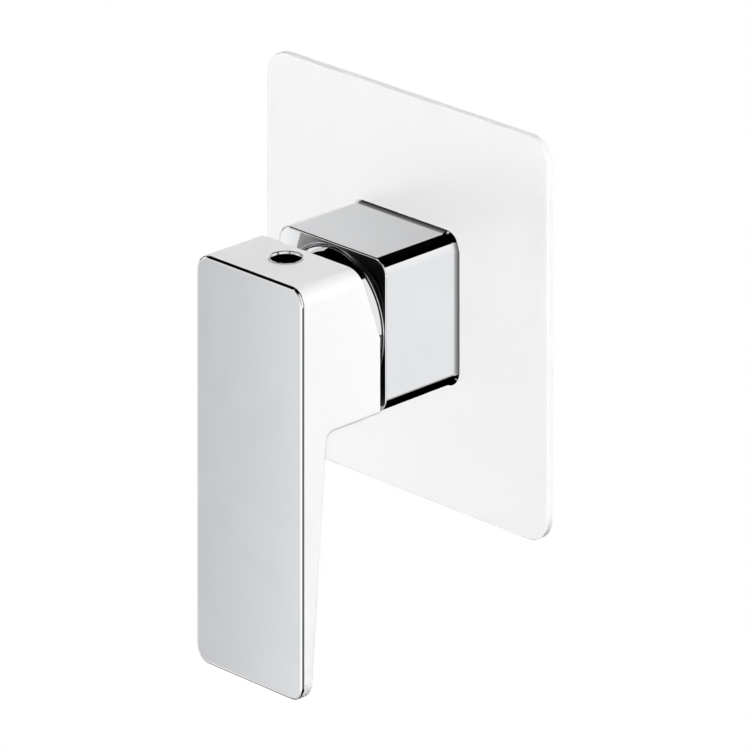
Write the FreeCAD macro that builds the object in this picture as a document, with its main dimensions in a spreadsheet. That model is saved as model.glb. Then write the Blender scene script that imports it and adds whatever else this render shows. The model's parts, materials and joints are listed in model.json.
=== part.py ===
import FreeCAD, Part
import os
import re

import Sketcher
from FreeCAD import Placement, Rotation, Vector

# Concealed single-lever shower mixer. The wall plane is Y = 0, the mixer's axis is the Y axis, the user
# stands on the -Y side and +Z is up. Every place along the axis is a station: the distance forward of the
# wall plane.

# Driving dimensions in millimetres and degrees
SIZES = {
    # Cover plate and the foam frame behind it
    "plate_side": 120.0,
    "plate_thick": 2.3,
    "plate_corner": 8.0,
    "plate_edge": 0.3,
    "plate_play": 0.3,
    "gasket_inset": 6.0,
    "gasket_width": 6.0,
    "gasket_thick": 1.1,
    "gasket_play": 0.15,
    # Square sleeve with its flared foot
    "sleeve_depth": 30.65,
    "sleeve_corner": 5.0,
    "sleeve_edge": 0.5,
    "sleeve_wall": 1.5,
    "sleeve_front_wall": 3.0,
    "foot_reach": 0.35,
    "foot_thick": 0.5,
    "foot_flare": 0.3,
    # Insert that centres the sleeve on the neck, and the ring seal in the neck
    "guide_inset": 2.0,
    "guide_length": 13.7,
    "guide_wall": 1.25,
    "guide_play": 0.05,
    "guide_bore_play": 0.1,
    "ring_section": 0.58,
    "ring_play": 0.02,
    "ring_groove": 1.6,
    # Dome in the mouth of the sleeve
    "pivot_depth": 8.35,
    "rim_step": 1.5,
    "rim_ledge": 0.1,
    "rim_depth": 1.5,
    "rim_proud": 0.15,
    "rim_play": 0.1,
    "dome_wall": 1.5,
    "skirt_wall": 1.1,
    "skirt_gap": 0.5,
    "opening_play": 1.0,
    # Cartridge
    "housing_radius": 17.5,
    "housing_wall": 2.0,
    "housing_roof": 3.0,
    "housing_play": 0.1,
    "collar_share": 0.857,
    "rotor_share": 0.7143,
    "collar_length": 14.0,
    "collar_play": 0.2,
    "seal_inset": 3.5,
    "stop_thick": 1.5,
    "rotor_play": 0.05,
    "rotor_ahead": 6.9,
    "flange_thick": 2.5,
    "flange_play": 0.3,
    "end_play": 0.1,
    "slot_play": 1.2,
    "spindle_play": 0.15,
    "rail_length": 3.9,
    "rail_width": 3.0,
    "rail_share": 0.72,
    "stop_rim": 0.6,
    "lug_play": 0.2,
    "lug_half_angle": 6.0,
    "turn_limit": 45.0,
    "turn_spare": 1.0,
    "tilt_limit": 18.0,
    "pin_radius": 2.0,
    "pin_inset": 1.0,
    "pin_play": 0.05,
    "pin_seat_play": 0.02,
    "carrier_share": 0.72,
    "carrier_corner": 2.0,
    "carrier_thick": 6.7,
    "carrier_play": 0.2,
    "peg_radius": 1.4,
    "peg_length": 1.5,
    "peg_share": 0.52,
    "peg_play": 0.1,
    "disc_clear": 0.4,
    "disc_thick": 4.5,
    "disc_film": 0.02,
    "mixing_land": 0.4,
    "mixing_depth": 1.4,
    "lobe_share": 0.9,
    "lobe_lift_share": 1.1,
    "fixed_disc_thick": 4.0,
    "base_thick": 6.0,
    "base_play": 0.1,
    "port_share": 0.143,
    "inlet_circle_share": 0.4935,
    "inlet_dip_angle": 40.0,
    "outlet_lift_share": 0.325,
    "port_seal_share": 0.2,
    "port_seal_section": 0.8,
    "port_seal_play": 0.05,
    # Spindle
    "spindle_side": 8.0,
    "spindle_tail": 5.0,
    "spindle_lead": 1.7,
    "arm_length": 17.0,
    "arm_radius": 1.8,
    "ball_radius": 2.6,
    "ball_play": 0.15,
    "ball_end_play": 0.4,
    # Retaining nut
    "nut_step": 1.25,
    "nut_length": 13.0,
    "nut_engagement": 6.0,
    "nut_relief": 1.0,
    "thread_play": 0.05,
    "notch_width": 5.0,
    "notch_depth": 3.0,
    # Lever
    "lever_gap": 2.25,
    "lever_inset": 0.2,
    "lever_length": 121.4,
    "lever_corner": 5.0,
    "lever_edge": 0.8,
    "head_depth": 31.3,
    "bottom_inset": 1.15,
    "slope_start": 0.6,
    "slope_spare": 3.0,
    "blade_root": 9.4,
    "blade_tip": 3.3,
    "underside_round": 2.5,
    "dome_gap": 0.6,
    "face_thick": 1.0,
    "face_edge_share": 0.95,
    "socket_play": 0.05,
    "socket_end_play": 0.5,
    "hole_setback": 15.4,
    "bush_radius": 5.35,
    "bush_wall": 0.75,
    "bush_length": 9.0,
    "bush_proud": 0.45,
    "bush_bevel": 0.4,
    "bush_play": 0.02,
    "screw_radius": 3.0,
    "screw_gap": 1.8,
    "screw_key": 1.75,
    "screw_key_depth": 4.0,
    # Brass body in the wall and the plate that fixes it
    "mouth_wall": 1.2,
    "wall_cover": 6.0,
    "block_wall": 7.0,
    "block_depth": 40.0,
    "boss_radius": 14.0,
    "boss_length": 15.0,
    "port_depth": 30.0,
    "thread_radius": 9.3,
    "thread_length": 15.0,
    "passage_radius": 4.5,
    "passage_wall": 1.5,
    "fixing_thick": 4.0,
    "fixing_corner": 6.0,
    "fixing_spacing": 60.0,
    "fixing_margin": 6.0,
    "fixing_hole_radius": 2.75,
    # How far a cutting shape runs past the face it cuts through
    "overrun": 1.0,
}

# Places and sizes that follow from the driving dimensions
DERIVED = {
    "gasket_side": "plate_side - 2 * gasket_inset",
    "sleeve_front": "plate_thick + sleeve_depth",
    "pivot": "sleeve_front - pivot_depth",
    "rim_seat": "sleeve_front - rim_depth",
    "rotor_front": "pivot + rotor_ahead",
    "collar_front": "rotor_front - stop_thick",
    "shoulder": "collar_front - collar_length",
    "roof_under": "shoulder - housing_roof",
    "flange_front": "roof_under - end_play",
    "flange_rear": "flange_front - flange_thick",
    "carrier_front": "flange_rear - carrier_play",
    "disc_front": "carrier_front - carrier_thick",
    "disc_rear": "disc_front - disc_thick",
    "fixed_disc_front": "disc_rear - disc_film",
    "base_front": "fixed_disc_front - fixed_disc_thick",
    "chamber_floor": "base_front - base_thick",
    "ball_station": "pivot - arm_length",
    "nut_radius": "housing_radius + nut_step",
    "neck_radius": "nut_radius + thread_play + mouth_wall",
    "neck_front": "shoulder + nut_engagement",
    "chamber_radius": "housing_radius - housing_wall",
    "plug_radius": "chamber_radius - base_play",
    "collar_radius": "collar_share * housing_radius",
    "rotor_radius": "rotor_share * housing_radius",
    "rotor_bore": "rotor_radius + rotor_play",
    "lug_reach": "collar_radius - rotor_radius - lug_play - stop_rim",
    "pin_half_length": "rotor_radius - pin_inset",
    "arm_sweep": "(pivot - flange_rear) * tan(tilt_limit)",
    "slot_height": "2 * (arm_sweep + arm_radius / cos(tilt_limit) + slot_play)",
    "disc_offset": "arm_length * sin(tilt_limit) / 2",
    "disc_radius": "chamber_radius - disc_offset - disc_clear",
    "carrier_side": "2 * carrier_share * disc_radius",
    "rail_height": "rail_share * carrier_side",
    "peg_place": "peg_share * disc_radius",
    "port_radius": "port_share * plug_radius",
    "inlet_circle": "inlet_circle_share * plug_radius",
    "port_across": "inlet_circle * cos(inlet_dip_angle)",
    "port_low": "inlet_circle * sin(inlet_dip_angle)",
    "port_high": "outlet_lift_share * plug_radius",
    "port_seal_radius": "port_seal_share * plug_radius",
    "mixing_radius": "inlet_circle - port_radius - mixing_land",
    "skirt_bore": "nut_radius + thread_play",
    "skirt_radius": "skirt_bore + skirt_wall",
    "skirt_rear": "neck_front + skirt_gap",
    "rim_radius": "skirt_radius + rim_step",
    "dome_radius": "sqrt(pow(rim_radius - rim_ledge; 2) + pow(pivot_depth; 2))",
    "dome_opening": "dome_radius * sin(tilt_limit) + spindle_side / sqrt(2) + opening_play",
    "guide_bore": "neck_radius + guide_bore_play",
    "guide_side": "2 * (guide_bore + guide_wall)",
    "sleeve_hollow": "guide_side + 2 * guide_play",
    "sleeve_width": "sleeve_hollow + 2 * sleeve_wall",
    "hollow_corner": "sleeve_corner - sleeve_wall",
    "guide_rear": "plate_thick + guide_inset",
    "seal_groove_floor": "guide_bore - 2 * ring_section - ring_play",
    "lever_width": "sleeve_width - 2 * lever_inset",
    "head_top": "sleeve_width / 2",
    "head_bottom": "sleeve_width / 2 - bottom_inset",
    "head_rear": "sleeve_front + lever_gap",
    "lever_front": "head_rear + head_depth",
    "face_front": "lever_front + face_thick",
    "face_edge": "face_edge_share * face_thick",
    "lever_tip": "head_top - lever_length",
    "slope_setback": "(head_top - slope_start) * tan(tilt_limit + slope_spare)",
    "hole_station": "face_front - hole_setback",
    "spindle_front": "hole_station + screw_radius + spindle_lead",
    "screw_foot": "spindle_side / 2",
    "bush_foot": "head_top - bush_length",
    "screw_length": "bush_foot - screw_foot - screw_gap",
    "recess_radius": "port_seal_radius + port_seal_section + port_seal_play",
    "block_radius": "neck_radius + block_wall",
    "boss_reach": "block_radius + boss_length",
    "block_rear": "-(wall_cover + block_depth)",
    "fixing_side": "fixing_spacing + 2 * fixing_margin",
    "passage_end": "port_high - port_radius + passage_wall",
}

# The three ports of the cartridge: name, place across and place up
PORTS = (
    ("hot", "-port_across", "-port_low"),
    ("cold", "port_across", "-port_low"),
    ("mixed", "0", "port_high"),
)

# Turns that lay a shape's own Z axis forward, to the right or up
FORWARD = Rotation(Vector(1, 0, 0), 90)
RIGHT = Rotation(Vector(0, 1, 0), 90)
UP = Rotation()

# Marks by which a sketch knows its origin, the ends of a line and the middle of a circle
SKETCH_ORIGIN = (-1, 1)
LINE_START, LINE_END, CIRCLE_MIDDLE = range(1, 4)

MATCH_SHARE = 0.00001

doc = FreeCAD.newDocument("shower_mixer")
dims = doc.addObject("Spreadsheet::Sheet", "dims")
for row, (alias, size) in enumerate(SIZES.items(), start=1):
    dims.set(f"A{row}", alias)
    dims.set(f"B{row}", str(size))
    dims.setAlias(f"B{row}", alias)
doc.recompute()


def written_out(formula):
    """Replaces each named size of a formula by its cell, and each derived name by its own formula."""

    def swap(word):
        name = word.group()
        if name in DERIVED:
            return f"({written_out(DERIVED[name])})"
        if name in SIZES:
            return f"dims.{name}"
        return name

    return re.sub(r"[a-z][a-z_]+", swap, formula)


def value(formula):
    """Works a formula out on the sheet."""
    return float(dims.evalExpression(written_out(formula)))


def bind(thing, prop, formula):
    """Ties one property of an object to a formula of sheet cells."""
    thing.setExpression(prop, written_out(formula))


def same(first, second):
    """Tells whether two lengths agree, to a small share of the plate's side."""
    return abs(first - second) < MATCH_SHARE * value("plate_side")


def place(thing, station="0", across="0", up="0", turn=FORWARD):
    """Stands an object at a station, turned so that its own Z axis points the given way."""
    thing.Placement = Placement(Vector(), turn)
    bind(thing, "Placement.Base.x", across)
    bind(thing, "Placement.Base.y", f"-({station})")
    bind(thing, "Placement.Base.z", up)
    return thing


# Bodies drawn with sketches


def new_body(label, station="0", across="0", up="0", turn=FORWARD):
    """Starts a body whose own Z axis points forward unless another turn is given."""
    body = doc.addObject("PartDesign::Body", label)
    body.Label = label
    return place(body, station, across, up, turn)


def new_sketch(body, name, role="XY_Plane", ahead="0"):
    """Lays a sketch on one of the body's own planes, moved ahead along that plane's normal."""
    sketch = body.newObject("Sketcher::SketchObject", f"{body.Name}_{name}")
    plane = next(feature for feature in body.Origin.OriginFeatures if feature.Role == role)
    sketch.AttachmentSupport = [(plane, "")]
    sketch.MapMode = "FlatFace"
    bind(sketch, "AttachmentOffset.Base.z", ahead)
    return sketch


def hold_point(sketch, geometry, end, pair):
    """Holds a point of the sketch by its two distances from the sketch's origin."""
    for kind, formula in zip(("DistanceX", "DistanceY"), pair):
        spot = (*SKETCH_ORIGIN, geometry, end)
        index = sketch.addConstraint(Sketcher.Constraint(kind, *spot, value(formula)))
        name = f"{kind}_{geometry}_{end}"
        sketch.renameConstraint(index, name)
        bind(sketch, f"Constraints.{name}", formula)


def draw_polygon(sketch, corners):
    """Closes straight sides through corners that are given as pairs of formulas."""
    spots = [Vector(value(across), value(up), 0) for across, up in corners]
    first = sketch.GeometryCount
    count = len(spots)
    for number, spot in enumerate(spots):
        sketch.addGeometry(Part.LineSegment(spot, spots[(number + 1) % count]), False)
    for number, pair in enumerate(corners):
        following = first + (number + 1) % count
        joint = (first + number, LINE_END, following, LINE_START)
        sketch.addConstraint(Sketcher.Constraint("Coincident", *joint))
        hold_point(sketch, first + number, LINE_START, pair)


def draw_rectangle(sketch, width, height, middle="0"):
    """Draws a rectangle about the vertical centre line, with its middle at a given height."""
    left = f"-({width}) / 2"
    right = f"({width}) / 2"
    low = f"{middle} - ({height}) / 2"
    high = f"{middle} + ({height}) / 2"
    draw_polygon(sketch, [(left, low), (right, low), (right, high), (left, high)])


def draw_circle(sketch, radius, across="0", up="0"):
    """Draws a circle held by its centre and radius."""
    middle = Vector(value(across), value(up), 0)
    index = sketch.addGeometry(Part.Circle(middle, Vector(0, 0, 1), value(radius)), False)
    hold_point(sketch, index, CIRCLE_MIDDLE, (across, up))
    limit = sketch.addConstraint(Sketcher.Constraint("Radius", index, value(radius)))
    name = f"radius_{index}"
    sketch.renameConstraint(limit, name)
    bind(sketch, f"Constraints.{name}", radius)


def pad(body, sketch, length, side="One side"):
    """Pads a sketch along its normal."""
    feature = body.newObject("PartDesign::Pad", f"{sketch.Name}_pad")
    feature.Profile = sketch
    feature.SideType = side
    bind(feature, "Length", length)
    doc.recompute()
    return feature


def pocket(body, sketch, depth, forward=False):
    """Cuts a sketch into the body, backwards from its plane unless told to cut forward."""
    before = body.Shape.Volume
    feature = body.newObject("PartDesign::Pocket", f"{sketch.Name}_pocket")
    feature.Profile = sketch
    feature.Reversed = forward
    bind(feature, "Length", depth)
    doc.recompute()
    if body.Shape.Volume >= before:
        raise ValueError(f"{feature.Name} cuts nothing")
    return feature


def revolve(body, sketch):
    """Turns a sketch once round its own vertical axis."""
    feature = body.newObject("PartDesign::Revolution", f"{sketch.Name}_turned")
    feature.Profile = sketch
    feature.ReferenceAxis = (sketch, ["V_Axis"])
    feature.Angle = 360
    doc.recompute()
    return feature


def round_edges(body, name, radius, wanted):
    """Rounds the edges of the body that pass a test."""
    base = body.Tip
    edges = [f"Edge{number}" for number, edge in enumerate(base.Shape.Edges, start=1) if wanted(edge)]
    feature = body.newObject("PartDesign::Fillet", f"{body.Name}_{name}")
    feature.Base = (base, edges)
    bind(feature, "Radius", radius)
    doc.recompute()
    return feature


def runs_forward(edge):
    """Tells whether an edge is straight and runs along its body's own Z axis."""
    box = edge.BoundBox
    return same(box.XLength, 0) and same(box.YLength, 0)


def lies_at(edge, height):
    """Tells whether an edge lies flat at a height of its body's own Z axis."""
    box = edge.BoundBox
    return same(box.ZMin, height) and same(box.ZMax, height)


def turned_body(label, station, corners, turn=FORWARD, across="0", up="0"):
    """Turns a closed outline of radii and heights round the body's own Z axis."""
    body = new_body(label, station, across, up, turn)
    section = new_sketch(body, "section", "XZ_Plane")
    draw_polygon(section, corners)
    revolve(body, section)
    return body


# Shapes made from primitives and booleans


def rod(name, radius, length, station="0", across="0", up="0", turn=FORWARD):
    """Makes a round bar that starts at a place and runs the way it is turned."""
    bar = doc.addObject("Part::Cylinder", name)
    bind(bar, "Radius", radius)
    bind(bar, "Height", length)
    return place(bar, station, across, up, turn)


def block(name, width, height, length, station="0", across="0", up="0"):
    """Makes a rectangular block, centred across and up, that runs forward from a station."""
    brick = doc.addObject("Part::Box", name)
    bind(brick, "Length", width)
    bind(brick, "Width", height)
    bind(brick, "Height", length)
    return place(brick, station, f"{across} - ({width}) / 2", f"{up} - ({height}) / 2")


def ball(name, radius, station):
    """Makes a ball on the mixer's axis."""
    sphere = doc.addObject("Part::Sphere", name)
    bind(sphere, "Radius", radius)
    return place(sphere, station)


def ring(name, mean_radius, section, station, across="0", up="0"):
    """Makes a seal ring of round section about an axis that runs forward."""
    torus = doc.addObject("Part::Torus", name)
    torus.Label = name
    bind(torus, "Radius1", mean_radius)
    bind(torus, "Radius2", section)
    return place(torus, station, across, up)


def fuse(name, *shapes):
    """Joins shapes into one."""
    joined = doc.addObject("Part::MultiFuse", name)
    joined.Label = name
    joined.Shapes = list(shapes)
    return joined


def common(name, first, second):
    """Keeps what two shapes share."""
    shared = doc.addObject("Part::MultiCommon", name)
    shared.Shapes = [first, second]
    return shared


def cut(name, base, *tools):
    """Takes one or more shapes out of another."""
    result = doc.addObject("Part::Cut", name)
    result.Label = name
    result.Base = base
    result.Tool = tools[0] if len(tools) == 1 else fuse(f"{name}_cuts", *tools)
    return result


def sector(name, radius, half_angle, length, station):
    """Makes a slice of a round bar, centred on the upward direction."""
    slice_bar = doc.addObject("Part::Cylinder", name)
    bind(slice_bar, "Radius", radius)
    bind(slice_bar, "Height", length)
    bind(slice_bar, "Angle", f"2 * ({half_angle})")
    start = Rotation(Vector(0, 0, 1), 90 - value(half_angle))
    return place(slice_bar, station, turn=FORWARD.multiply(start))


# Cover plate, foam frame and sleeve


def make_wall_plate():
    """Square plate with a hole for the neck and a recess for the foam frame in its back."""
    body = new_body("wall_plate")
    outline = new_sketch(body, "outline")
    draw_rectangle(outline, "plate_side", "plate_side")
    pad(body, outline, "plate_thick")
    round_edges(body, "corners", "plate_corner", runs_forward)
    front = value("plate_thick")
    round_edges(body, "front_edge", "plate_edge", lambda edge: lies_at(edge, front))
    hole = new_sketch(body, "hole", ahead="plate_thick")
    draw_circle(hole, "neck_radius + plate_play")
    pocket(body, hole, "plate_thick")
    recess = new_sketch(body, "recess")
    draw_rectangle(recess, "gasket_side", "gasket_side")
    draw_rectangle(recess, "gasket_side - 2 * gasket_width", "gasket_side - 2 * gasket_width")
    pocket(body, recess, "gasket_thick", forward=True)
    return body


def make_plate_gasket():
    """Foam frame that fills the recess in the plate's back."""
    body = new_body("plate_gasket")
    outline = new_sketch(body, "outline")
    outer = "gasket_side - 2 * gasket_play"
    inner = "gasket_side - 2 * gasket_width + 2 * gasket_play"
    draw_rectangle(outline, outer, outer)
    draw_rectangle(outline, inner, inner)
    pad(body, outline, "gasket_thick")
    return body


def make_square_sleeve():
    """Square sleeve with rounded long edges, a flared foot and a stepped round mouth."""
    body = new_body("square_sleeve", "plate_thick")
    outline = new_sketch(body, "outline")
    draw_rectangle(outline, "sleeve_width", "sleeve_width")
    pad(body, outline, "sleeve_depth")
    round_edges(body, "long_edges", "sleeve_corner", runs_forward)
    foot = new_sketch(body, "foot")
    draw_rectangle(foot, "sleeve_width + 2 * foot_reach", "sleeve_width + 2 * foot_reach")
    pad(body, foot, "foot_thick")
    foot_top = value("foot_thick")
    inside_foot = value("sleeve_width / 2 + foot_reach / 2")

    def on_foot_corner(edge):
        return runs_forward(edge) and same(edge.BoundBox.ZMax, foot_top)

    def round_the_foot(edge):
        box = edge.BoundBox
        reach = max(abs(box.XMin), abs(box.XMax), abs(box.YMin), abs(box.YMax))
        return lies_at(edge, foot_top) and reach < inside_foot

    round_edges(body, "foot_corners", "sleeve_corner + foot_reach", on_foot_corner)
    round_edges(body, "flare", "foot_flare", round_the_foot)
    mouth = value("sleeve_depth")
    round_edges(body, "front_edge", "sleeve_edge", lambda edge: lies_at(edge, mouth))
    hollow = new_sketch(body, "hollow")
    draw_rectangle(hollow, "sleeve_hollow", "sleeve_hollow")
    pocket(body, hollow, "sleeve_depth - sleeve_front_wall", forward=True)
    inner_half = value("sleeve_hollow / 2")
    round_edges(
        body,
        "hollow_corners",
        "hollow_corner",
        lambda edge: runs_forward(edge) and same(abs(edge.BoundBox.XMax), inner_half),
    )
    hole = new_sketch(body, "hole", ahead="sleeve_depth")
    draw_circle(hole, "skirt_radius + rim_play")
    pocket(body, hole, "sleeve_front_wall")
    seat = new_sketch(body, "seat", ahead="sleeve_depth")
    draw_circle(seat, "rim_radius + rim_play")
    pocket(body, seat, "rim_depth")
    return body


def make_sleeve_guide():
    """Insert that is square outside and round inside, and centres the sleeve on the neck."""
    body = new_body("sleeve_guide", "guide_rear")
    outline = new_sketch(body, "outline")
    draw_rectangle(outline, "guide_side", "guide_side")
    pad(body, outline, "guide_length")
    round_edges(body, "long_edges", "hollow_corner", runs_forward)
    bore = new_sketch(body, "bore", ahead="guide_length")
    draw_circle(bore, "guide_bore")
    pocket(body, bore, "guide_length")
    return body


def make_sleeve_seal():
    """Ring seal in the neck's groove, against the guide's bore."""
    mean_radius = "guide_bore - ring_section - ring_play / 2"
    return ring("sleeve_seal", mean_radius, "ring_section", "guide_rear + guide_length / 2")


def make_dome_cap():
    """Dome about the lever's pivot, with a rim proud of the sleeve's mouth and a threaded skirt."""
    dome = common(
        "dome_form",
        ball("dome_ball", "dome_radius", "pivot"),
        rod("dome_front", "dome_radius", "dome_radius", "sleeve_front"),
    )
    rim = rod("dome_rim", "rim_radius", "rim_depth + rim_proud", "rim_seat")
    skirt = rod("dome_skirt", "skirt_radius", "rim_seat - skirt_rear", "skirt_rear")
    hollow = common(
        "dome_hollow",
        ball("dome_inner_ball", "dome_radius - dome_wall", "pivot"),
        rod("dome_inner_bar", "skirt_bore", "dome_radius", "pivot"),
    )
    thread = rod("dome_thread", "skirt_bore", "pivot - skirt_rear + overrun", "skirt_rear - overrun")
    opening = rod("dome_mouth", "dome_opening", "dome_radius + overrun", "pivot")
    return cut("dome_cap", fuse("dome_solid", dome, rim, skirt), hollow, thread, opening)


# Cartridge


def make_retaining_nut():
    """Threaded ring that presses on the housing's shoulder, with four key notches in its front."""
    body = new_body("retaining_nut", "shoulder")
    outline = new_sketch(body, "outline")
    draw_circle(outline, "nut_radius")
    draw_circle(outline, "collar_radius + collar_play")
    pad(body, outline, "nut_length")
    notch = new_sketch(body, "notch", ahead="nut_length")
    draw_rectangle(notch, "notch_width", "nut_radius", "nut_radius")
    first = pocket(body, notch, "notch_depth")
    pattern = body.newObject("PartDesign::PolarPattern", "retaining_nut_notches")
    pattern.Originals = [first]
    pattern.Axis = (notch, ["N_Axis"])
    pattern.Angle = 360
    pattern.Occurrences = 4
    body.Tip = pattern
    doc.recompute()
    return body


def make_stop_ring():
    """Ring on the collar's front with a wide notch in which the rotor's lug can swing."""
    disc = rod("stop_disc", "collar_radius", "stop_thick", "collar_front")
    start = "collar_front - overrun"
    length = "stop_thick + 2 * overrun"
    bore = rod("stop_bore", "rotor_radius + lug_play", length, start)
    swing = "turn_limit + lug_half_angle + turn_spare"
    notch = sector("stop_notch", "rotor_radius + lug_reach + lug_play", swing, length, start)
    return cut("stop_ring", disc, bore, notch)


def make_cartridge_housing():
    """Turned shell: a wide rear part with a seal groove, and a slim collar that guides the rotor."""
    length = "shoulder - chamber_floor"
    total = "collar_front - chamber_floor"
    groove_low = "seal_inset"
    groove_high = "seal_inset + ring_groove"
    groove_floor = "housing_radius + housing_play - 2 * ring_section - ring_play"
    return turned_body(
        "cartridge_housing",
        "chamber_floor",
        [
            ("chamber_radius", "0"),
            ("housing_radius", "0"),
            ("housing_radius", groove_low),
            (groove_floor, groove_low),
            (groove_floor, groove_high),
            ("housing_radius", groove_high),
            ("housing_radius", length),
            ("collar_radius", length),
            ("collar_radius", total),
            ("rotor_bore", total),
            ("rotor_bore", "roof_under - chamber_floor"),
            ("chamber_radius", "roof_under - chamber_floor"),
        ],
    )


def make_housing_seal():
    """Ring seal between the housing and the chamber's wall."""
    mean_radius = "housing_radius + housing_play - ring_section - ring_play / 2"
    return ring("housing_seal", mean_radius, "ring_section", "chamber_floor + seal_inset + ring_groove / 2")


def make_stop_lug():
    """Lug on the rotor's front that swings in the stop ring's notch."""
    reach = "rotor_radius + lug_reach"
    return sector("rotor_lug", reach, "lug_half_angle", "stop_thick - lug_play", "collar_front + lug_play")


def make_cartridge_rotor():
    """Rotor with a slot for the spindle, a flange under the housing's roof and two guide rails."""
    barrel = rod("rotor_barrel", "rotor_radius", "rotor_front - flange_front", "flange_front")
    flange = rod("rotor_flange", "chamber_radius - flange_play", "flange_thick", "flange_rear")
    rail_place = "carrier_side / 2 + carrier_play + rail_width / 2"
    rails = [
        block(
            f"rotor_rail_{side}",
            "rail_width",
            "rail_height",
            "rail_length + flange_thick / 2",
            "flange_rear - rail_length",
            f"{sign}({rail_place})",
        )
        for side, sign in (("left", "-"), ("right", ""))
    ]
    slot = block(
        "rotor_slot",
        "spindle_side + 2 * spindle_play",
        "slot_height",
        "rotor_front - flange_rear + 2 * overrun",
        "flange_rear - overrun",
    )
    seat = rod(
        "rotor_pin_seat",
        "pin_radius + pin_seat_play",
        "2 * rotor_radius + 2 * overrun",
        "pivot",
        "-rotor_radius - overrun",
        turn=RIGHT,
    )
    return cut("cartridge_rotor", fuse("rotor_solid", barrel, flange, make_stop_lug(), *rails), slot, seat)


def make_pivot_pin():
    """Cross pin in the rotor on which the spindle tilts."""
    pin = rod("pivot_pin", "pin_radius", "2 * pin_half_length", "pivot", "-pin_half_length", turn=RIGHT)
    pin.Label = "pivot_pin"
    return pin


def make_spindle():
    """Square bar with a cross hole for the pin, a slim arm behind it and a ball at its end."""
    bar = block(
        "spindle_bar",
        "spindle_side",
        "spindle_side",
        "spindle_front - pivot + spindle_tail",
        "pivot - spindle_tail",
    )
    arm = rod("spindle_arm", "arm_radius", "arm_length", "ball_station")
    end = ball("spindle_ball", "ball_radius", "ball_station")
    hole = rod(
        "spindle_pin_hole",
        "pin_radius + pin_play",
        "spindle_side + 2 * overrun",
        "pivot",
        "-spindle_side / 2 - overrun",
        turn=RIGHT,
    )
    return cut("spindle", fuse("spindle_solid", bar, arm, end), hole)


def make_disc_carrier():
    """Sliding block with a socket for the spindle's ball and two pegs that hold the moving disc."""
    body = new_body("disc_carrier", "disc_front")
    outline = new_sketch(body, "outline")
    draw_rectangle(outline, "carrier_side", "carrier_side", "disc_offset")
    pad(body, outline, "carrier_thick")
    round_edges(body, "corners", "carrier_corner", runs_forward)
    socket = new_sketch(body, "socket", ahead="carrier_thick")
    draw_circle(socket, "ball_radius + ball_play")
    pocket(body, socket, "carrier_front - ball_station + ball_radius + ball_end_play")
    pegs = new_sketch(body, "pegs")
    for across in ("-peg_place", "peg_place"):
        draw_circle(pegs, "peg_radius", across, "disc_offset")
    feature = pad(body, pegs, "peg_length")
    feature.Reversed = True
    doc.recompute()
    return body


def make_moving_disc():
    """Ceramic disc with a two-lobed mixing hollow in its rear face and two peg holes in its front face."""
    body = new_body("moving_disc", "disc_rear")
    outline = new_sketch(body, "outline")
    draw_circle(outline, "disc_radius", up="disc_offset")
    pad(body, outline, "disc_thick")
    holes = new_sketch(body, "peg_holes", ahead="disc_thick")
    for across in ("-peg_place", "peg_place"):
        draw_circle(holes, "peg_radius + peg_play", across, "disc_offset")
    pocket(body, holes, "peg_length + peg_play")
    hollow = new_sketch(body, "mixing_hollow")
    draw_circle(hollow, "mixing_radius")
    pocket(body, hollow, "mixing_depth", forward=True)
    lobe = new_sketch(body, "outlet_lobe")
    draw_circle(lobe, "lobe_share * mixing_radius", up="lobe_lift_share * mixing_radius")
    pocket(body, lobe, "mixing_depth", forward=True)
    return body


def pierce_ports(body, thick):
    """Cuts the three ports through a disc of the cartridge."""
    ports = new_sketch(body, "ports", ahead=thick)
    for _, across, up in PORTS:
        draw_circle(ports, "port_radius", across, up)
    pocket(body, ports, thick)


def make_fixed_disc():
    """Ceramic disc with the three ports."""
    body = new_body("fixed_disc", "base_front")
    outline = new_sketch(body, "outline")
    draw_circle(outline, "plug_radius")
    pad(body, outline, "fixed_disc_thick")
    pierce_ports(body, "fixed_disc_thick")
    return body


def make_cartridge_base():
    """Closing disc of the cartridge with the three ports and a seal recess round each."""
    body = new_body("cartridge_base", "chamber_floor")
    outline = new_sketch(body, "outline")
    draw_circle(outline, "plug_radius")
    pad(body, outline, "base_thick")
    pierce_ports(body, "base_thick")
    recesses = new_sketch(body, "recesses")
    for _, across, up in PORTS:
        draw_circle(recesses, "recess_radius", across, up)
    pocket(body, recesses, "2 * port_seal_section", forward=True)
    return body


def make_base_seals():
    """One ring seal in each recess of the base."""
    group = doc.addObject("Part::Compound", "base_seals")
    group.Label = "base_seals"
    station = "chamber_floor + port_seal_section"
    group.Links = [
        ring(f"{name}_port_seal", "port_seal_radius", "port_seal_section", station, across, up)
        for name, across, up in PORTS
    ]
    return group


# Lever


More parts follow.
